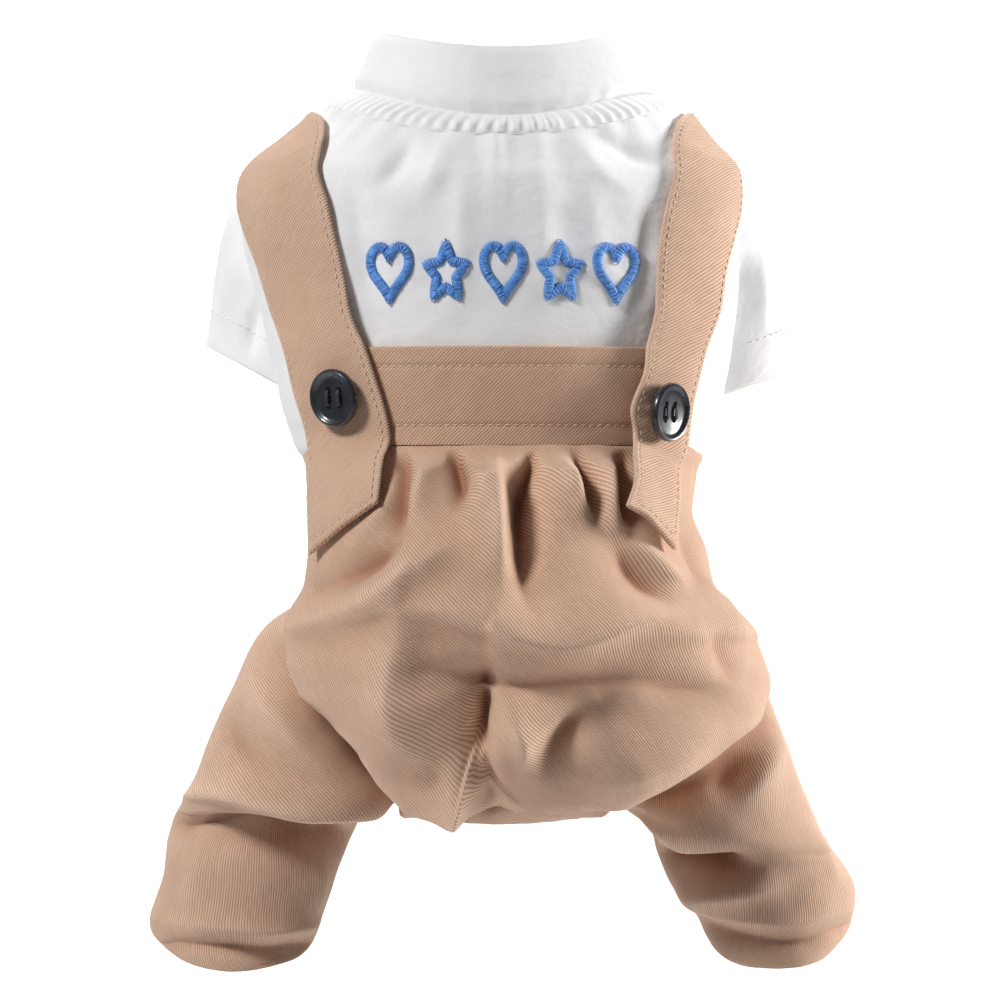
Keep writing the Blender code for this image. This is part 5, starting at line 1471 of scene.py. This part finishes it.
class Shader:
    """A material whose nodes are added by short calls."""

    def __init__(self, name):
        self.material = bpy.data.materials.new(name)
        self.material.use_nodes = True
        self.tree = self.material.node_tree
        self.surface = self.tree.nodes["Principled BSDF"]

    def node(self, kind, **settings):
        made = self.tree.nodes.new(kind)
        for setting, value in settings.items():
            setattr(made, setting, value)
        return made

    def put(self, socket, value):
        if isinstance(value, bpy.types.NodeSocket):
            self.tree.links.new(value, socket)
        else:
            socket.default_value = value

    def maths(self, operation, *values):
        made = self.node("ShaderNodeMath", operation=operation)
        for socket, value in zip(made.inputs, values):
            self.put(socket, value)
        return made.outputs[0]

    def noise(self, vector, scale, detail=2.0):
        made = self.node("ShaderNodeTexNoise")
        self.put(made.inputs["Vector"], vector)
        made.inputs["Scale"].default_value = scale
        made.inputs["Detail"].default_value = detail
        return made.outputs["Fac"]

    def stretched(self, vector, scale):
        made = self.node("ShaderNodeVectorMath", operation="MULTIPLY")
        self.put(made.inputs[0], vector)
        made.inputs[1].default_value = scale
        return made.outputs[0]

    def ramp(self, value, stops):
        made = self.node("ShaderNodeValToRGB")
        self.put(made.inputs[0], value)
        line = made.color_ramp.elements
        while len(line) < len(stops):
            line.new(0.5)
        for stop, (place, colour) in zip(line, stops):
            stop.position = place
            stop.color = (*colour, 1.0)
        return made.outputs[0]

    def mixed(self, share, first, second, blend="MIX"):
        made = self.node("ShaderNodeMix", data_type="RGBA", blend_type=blend)
        self.put(made.inputs["Factor"], share)
        self.put(made.inputs[6], first)
        self.put(made.inputs[7], second)
        return made.outputs[2]

    def bump(self, height, distance, strength=1.0, under=None):
        made = self.node("ShaderNodeBump")
        made.inputs["Strength"].default_value = strength
        made.inputs["Distance"].default_value = distance
        self.put(made.inputs["Height"], height)
        if under is not None:
            self.put(made.inputs["Normal"], under)
        return made.outputs[0]

    def finished(self, colour, roughness, normal, others):
        """The material with its surface set. others are further settings of the surface by name."""
        settings = {"Base Color": colour, "Roughness": roughness, "Normal": normal, **others}
        for name, value in settings.items():
            self.put(self.surface.inputs[name], value)
        return self.material


def kept(name, make):
    """The material of a name, made once."""
    return bpy.data.materials.get(name) or make(name)


def twill():
    return kept("twill_cloth", make_twill)


def make_twill(name):
    """Sand-coloured cotton twill: diagonal wales of short floats, with yarns of slightly uneven colour."""
    shader = Shader(name)
    weave = shader.node("ShaderNodeAttribute", attribute_name="weave").outputs["Vector"]
    parts = shader.node("ShaderNodeSeparateXYZ")
    shader.put(parts.inputs[0], weave)
    over, along = parts.outputs[0], parts.outputs[1]
    wander = shader.maths("MULTIPLY", shader.noise(weave, 0.10, 2), 0.5)
    turns = shader.maths("DIVIDE", shader.maths("ADD", over, wander), TWILL_PITCH)
    wale = shader.maths("SINE", shader.maths("MULTIPLY", turns, FULL_TURN))
    crest = shader.maths("MULTIPLY_ADD", wale, 0.5, 0.5)
    step = shader.maths("FLOOR", turns)
    shifted = shader.maths("MULTIPLY", step, 0.37)
    float_place = shader.maths("ADD", shader.maths("DIVIDE", along, TWILL_FLOAT), shifted)
    float_turn = shader.maths("MULTIPLY", float_place, HALF_TURN)
    float_wave = shader.maths("ABSOLUTE", shader.maths("SINE", float_turn))
    float_round = shader.maths("POWER", float_wave, 0.4)
    height = shader.maths("MULTIPLY", crest, shader.maths("MULTIPLY_ADD", float_round, 0.45, 0.55))
    yarn = shader.noise(shader.stretched(weave, (1.1, 0.16, 0.0)), 1.0, 3)
    fuzz = shader.noise(weave, 2.4, 3)
    patch = shader.noise(weave, 0.045, 3)
    cloth = shader.ramp(height, [(0.0, TWILL_FURROW), (0.42, TWILL_MIDDLE), (1.0, TWILL_CREST)])
    yarn_shade = shader.ramp(yarn, [(0.30, (0.80, 0.78, 0.76)), (0.70, (1.10, 1.10, 1.10))])
    fuzz_shade = shader.ramp(fuzz, [(0.30, (0.84, 0.83, 0.82)), (0.70, (1.10, 1.10, 1.10))])
    patch_shade = shader.ramp(patch, [(0.30, (0.90, 0.88, 0.87)), (0.70, (1.05, 1.05, 1.05))])
    cloth = shader.mixed(0.40, cloth, yarn_shade, "MULTIPLY")
    cloth = shader.mixed(0.30, cloth, fuzz_shade, "MULTIPLY")
    cloth = shader.mixed(0.50, cloth, patch_shade, "MULTIPLY")
    # Painted shade: darker, redder colour deep in folds; crests paler as rubbed wear
    worn = shader.node("ShaderNodeAttribute", attribute_name="worn").outputs["Fac"]
    cloth = shader.mixed(1.0, cloth, shader.ramp(worn, TWILL_WEAR_AND_FOLD_SHADE), "MULTIPLY")
    rough = shader.maths("MULTIPLY_ADD", fuzz, 0.16, 0.74)
    soft = shader.bump(shader.noise(weave, 0.20, 2), 0.00020, 0.5)
    fine = shader.bump(shader.maths("ADD", height, shader.maths("MULTIPLY", fuzz, 0.35)), 0.00013, 0.85, soft)
    sheen = {"Sheen Weight": 0.22, "Sheen Roughness": 0.5, "Sheen Tint": (1.0, 0.88, 0.76, 1.0)}
    return shader.finished(cloth, rough, fine, {**sheen, "Specular IOR Level": 0.25})


def cotton():
    return kept("cotton_cloth", make_cotton)


def make_cotton(name):
    """White shirt cotton: a fine plain weave that shows only as a soft grain, faintly cooler in patches."""
    shader = Shader(name)
    weave = shader.node("ShaderNodeAttribute", attribute_name="weave").outputs["Vector"]
    parts = shader.node("ShaderNodeSeparateXYZ")
    shader.put(parts.inputs[0], weave)
    turn = FULL_TURN / COTTON_PITCH
    warp = shader.maths("SINE", shader.maths("MULTIPLY", parts.outputs[1], turn))
    weft = shader.maths("SINE", shader.maths("MULTIPLY", parts.outputs[2], turn))
    plain = shader.maths("MULTIPLY", warp, weft)
    slub = shader.noise(shader.stretched(weave, (0.0, 0.25, 1.8)), 1.0, 3)
    grain = shader.noise(weave, 1.6, 3)
    patch = shader.noise(weave, 0.05, 2)
    cloth = shader.ramp(patch, [(0.30, COTTON_COOL), (0.70, COTTON_WARM)])
    grain_shade = shader.ramp(grain, [(0.30, (0.93, 0.93, 0.94)), (0.70, (1.0, 1.0, 1.0))])
    slub_shade = shader.ramp(slub, [(0.30, (0.94, 0.94, 0.95)), (0.70, (1.0, 1.0, 1.0))])
    cloth = shader.mixed(0.30, cloth, grain_shade, "MULTIPLY")
    cloth = shader.mixed(0.30, cloth, slub_shade, "MULTIPLY")
    rough = shader.maths("MULTIPLY_ADD", grain, 0.14, 0.72)
    soft = shader.bump(shader.noise(weave, 0.22, 3), 0.00050, 0.7)
    fine = shader.bump(shader.maths("ADD", shader.maths("MULTIPLY", plain, 0.4), grain), 0.00005, 0.5, soft)
    soft_light = {"Subsurface Weight": 0.08, "Subsurface Scale": 0.002}
    others = {"Sheen Weight": 0.12, "Specular IOR Level": 0.3, **soft_light}
    return shader.finished(cloth, rough, fine, others)


def thread(name):
    return kept(name, make_thread)


def make_thread(name):
    """Twisted thread: two shades that alternate in fine twists along it."""
    dark, light, roughness, sheen = THREADS[name]
    shader = Shader(name)
    where = shader.node("ShaderNodeTexCoord").outputs["Object"]
    twist = shader.noise(where, 2600.0, 2)
    strand = shader.noise(where, 420.0, 2)
    shade = shader.maths("ADD", shader.maths("MULTIPLY", twist, 0.6), shader.maths("MULTIPLY", strand, 0.4))
    colour = shader.ramp(shade, [(0.34, dark), (0.62, light)])
    rough = shader.maths("MULTIPLY_ADD", twist, 0.2, roughness)
    return shader.finished(colour, rough, shader.bump(twist, 0.00004, 0.6), {"Sheen Weight": sheen})


# Threads: a dark and a light shade, a roughness and a sheen
THREADS = {
    "cream_thread": ((0.50, 0.36, 0.25), (0.82, 0.66, 0.50), 0.45, 0.2),
    "white_thread": ((0.74, 0.74, 0.76), (0.93, 0.93, 0.94), 0.5, 0.2),
    "dark_thread": ((0.006, 0.007, 0.010), (0.035, 0.040, 0.050), 0.45, 0.1),
    "blue_satin": ((0.020, 0.120, 0.46), (0.150, 0.420, 0.92), 0.28, 0.3),
}


def button_gloss():
    return kept("button_gloss", make_button_gloss)


def make_button_gloss(name):
    """Black moulded plastic, glossy, with faint smears and fine scratches in its polish."""
    shader = Shader(name)
    where = shader.node("ShaderNodeTexCoord").outputs["Object"]
    smear = shader.noise(where, 190.0, 3)
    scratch = shader.noise(shader.stretched(where, (900.0, 5200.0, 900.0)), 1.0, 2)
    shade = shader.ramp(smear, [(0.3, (0.014, 0.017, 0.023)), (0.7, (0.024, 0.028, 0.036))])
    rough = shader.maths("MULTIPLY_ADD", smear, 0.18, 0.20)
    coat = {"Coat Weight": 0.5, "Coat Roughness": 0.08}
    return shader.finished(shade, rough, shader.bump(scratch, 0.000006, 0.5), coat)


def plain_material(name, colour, roughness):
    made = bpy.data.materials.new(name)
    made.use_nodes = True
    surface = made.node_tree.nodes["Principled BSDF"]
    surface.inputs["Base Color"].default_value = (*colour, 1.0)
    surface.inputs["Roughness"].default_value = roughness
    return made


def camera():
    """The camera at the picture's viewing angle, level and square on to the back."""
    data = bpy.data.cameras.new("camera")
    data.sensor_width = SENSOR_WIDTH
    data.lens = SENSOR_WIDTH * CAMERA_DISTANCE / FRAME_WIDTH
    data.clip_start = 0.05
    data.clip_end = 20.0
    obj = linked("camera", data)
    obj.location = (CAMERA_ACROSS, -CAMERA_DISTANCE, CAMERA_HEIGHT)
    obj.rotation_euler = (HALF_TURN / 2, 0, 0)
    bpy.context.scene.camera = obj


def lamp(name, place, size, power, colour, facing=(0, 0, CAMERA_HEIGHT)):
    """A soft square light that faces the middle of the outfit, or another place."""
    data = bpy.data.lights.new(name, "AREA")
    data.shape = "SQUARE"
    data.size = size
    data.energy = power
    data.color = colour
    obj = linked(name, data)
    obj.location = place
    aim = Vector(facing) - Vector(place)
    obj.rotation_euler = aim.to_track_quat("-Z", "Y").to_euler()


def studio():
    """A plain white floor that curves up into a wall, with lamps at the upper left, the right and behind."""
    columns = 2
    floor, wall, bend, half = FLOOR_HEIGHT, BACKDROP_AWAY, SWEEP_BEND, SWEEP_HALF_WIDTH
    rows = [(FLOOR_FRONT, floor)]
    rows += [
        (wall - bend + bend * math.sin(angle), floor + bend - bend * math.cos(angle))
        for angle in np.linspace(0, HALF_TURN / 2, 17)
    ]
    rows.append((wall, floor + WALL_HEIGHT))
    points = np.array([[(side * half, y, z) for side in (-1, 1)] for y, z in rows])
    row = np.arange(len(rows) - 1) * columns
    corners = np.stack([row, row + 1, row + 3, row + 2], axis=-1)
    white = plain_material("studio_white", (0.93, 0.93, 0.93), 0.9)
    sweep = new_object("studio_sweep", raw_mesh("studio_sweep", points, corners), white)
    world = bpy.data.worlds.new("studio_air")
    bpy.context.scene.world = world
    world.use_nodes = True
    world.node_tree.nodes["Background"].inputs["Color"].default_value = (0.97, 0.985, 1.0, 1.0)
    world.node_tree.nodes["Background"].inputs["Strength"].default_value = AIR_LIGHT
    lamp("key", KEY_PLACE, 0.60, KEY_POWER, (1.0, 0.99, 0.98))
    lamp("rim", RIM_PLACE, 0.50, RIM_POWER, (1.0, 0.985, 0.965))
    lamp("wall_light", WALL_LIGHT_PLACE, 1.0, BACK_POWER, (1.0, 1.0, 1.0), (0.0, BACKDROP_AWAY, -0.15))
    bpy.context.scene.view_settings.view_transform = "Standard"


def main():
    camera()
    studio()
    collar()
    neck_casing()
    under = straps()
    under.append(band())
    shirt = shirt_body(under)
    sleeves()
    trousers_seat(under[:2])
    tail_casing()
    legs()
    motifs(shirt)
    buttons()


main()
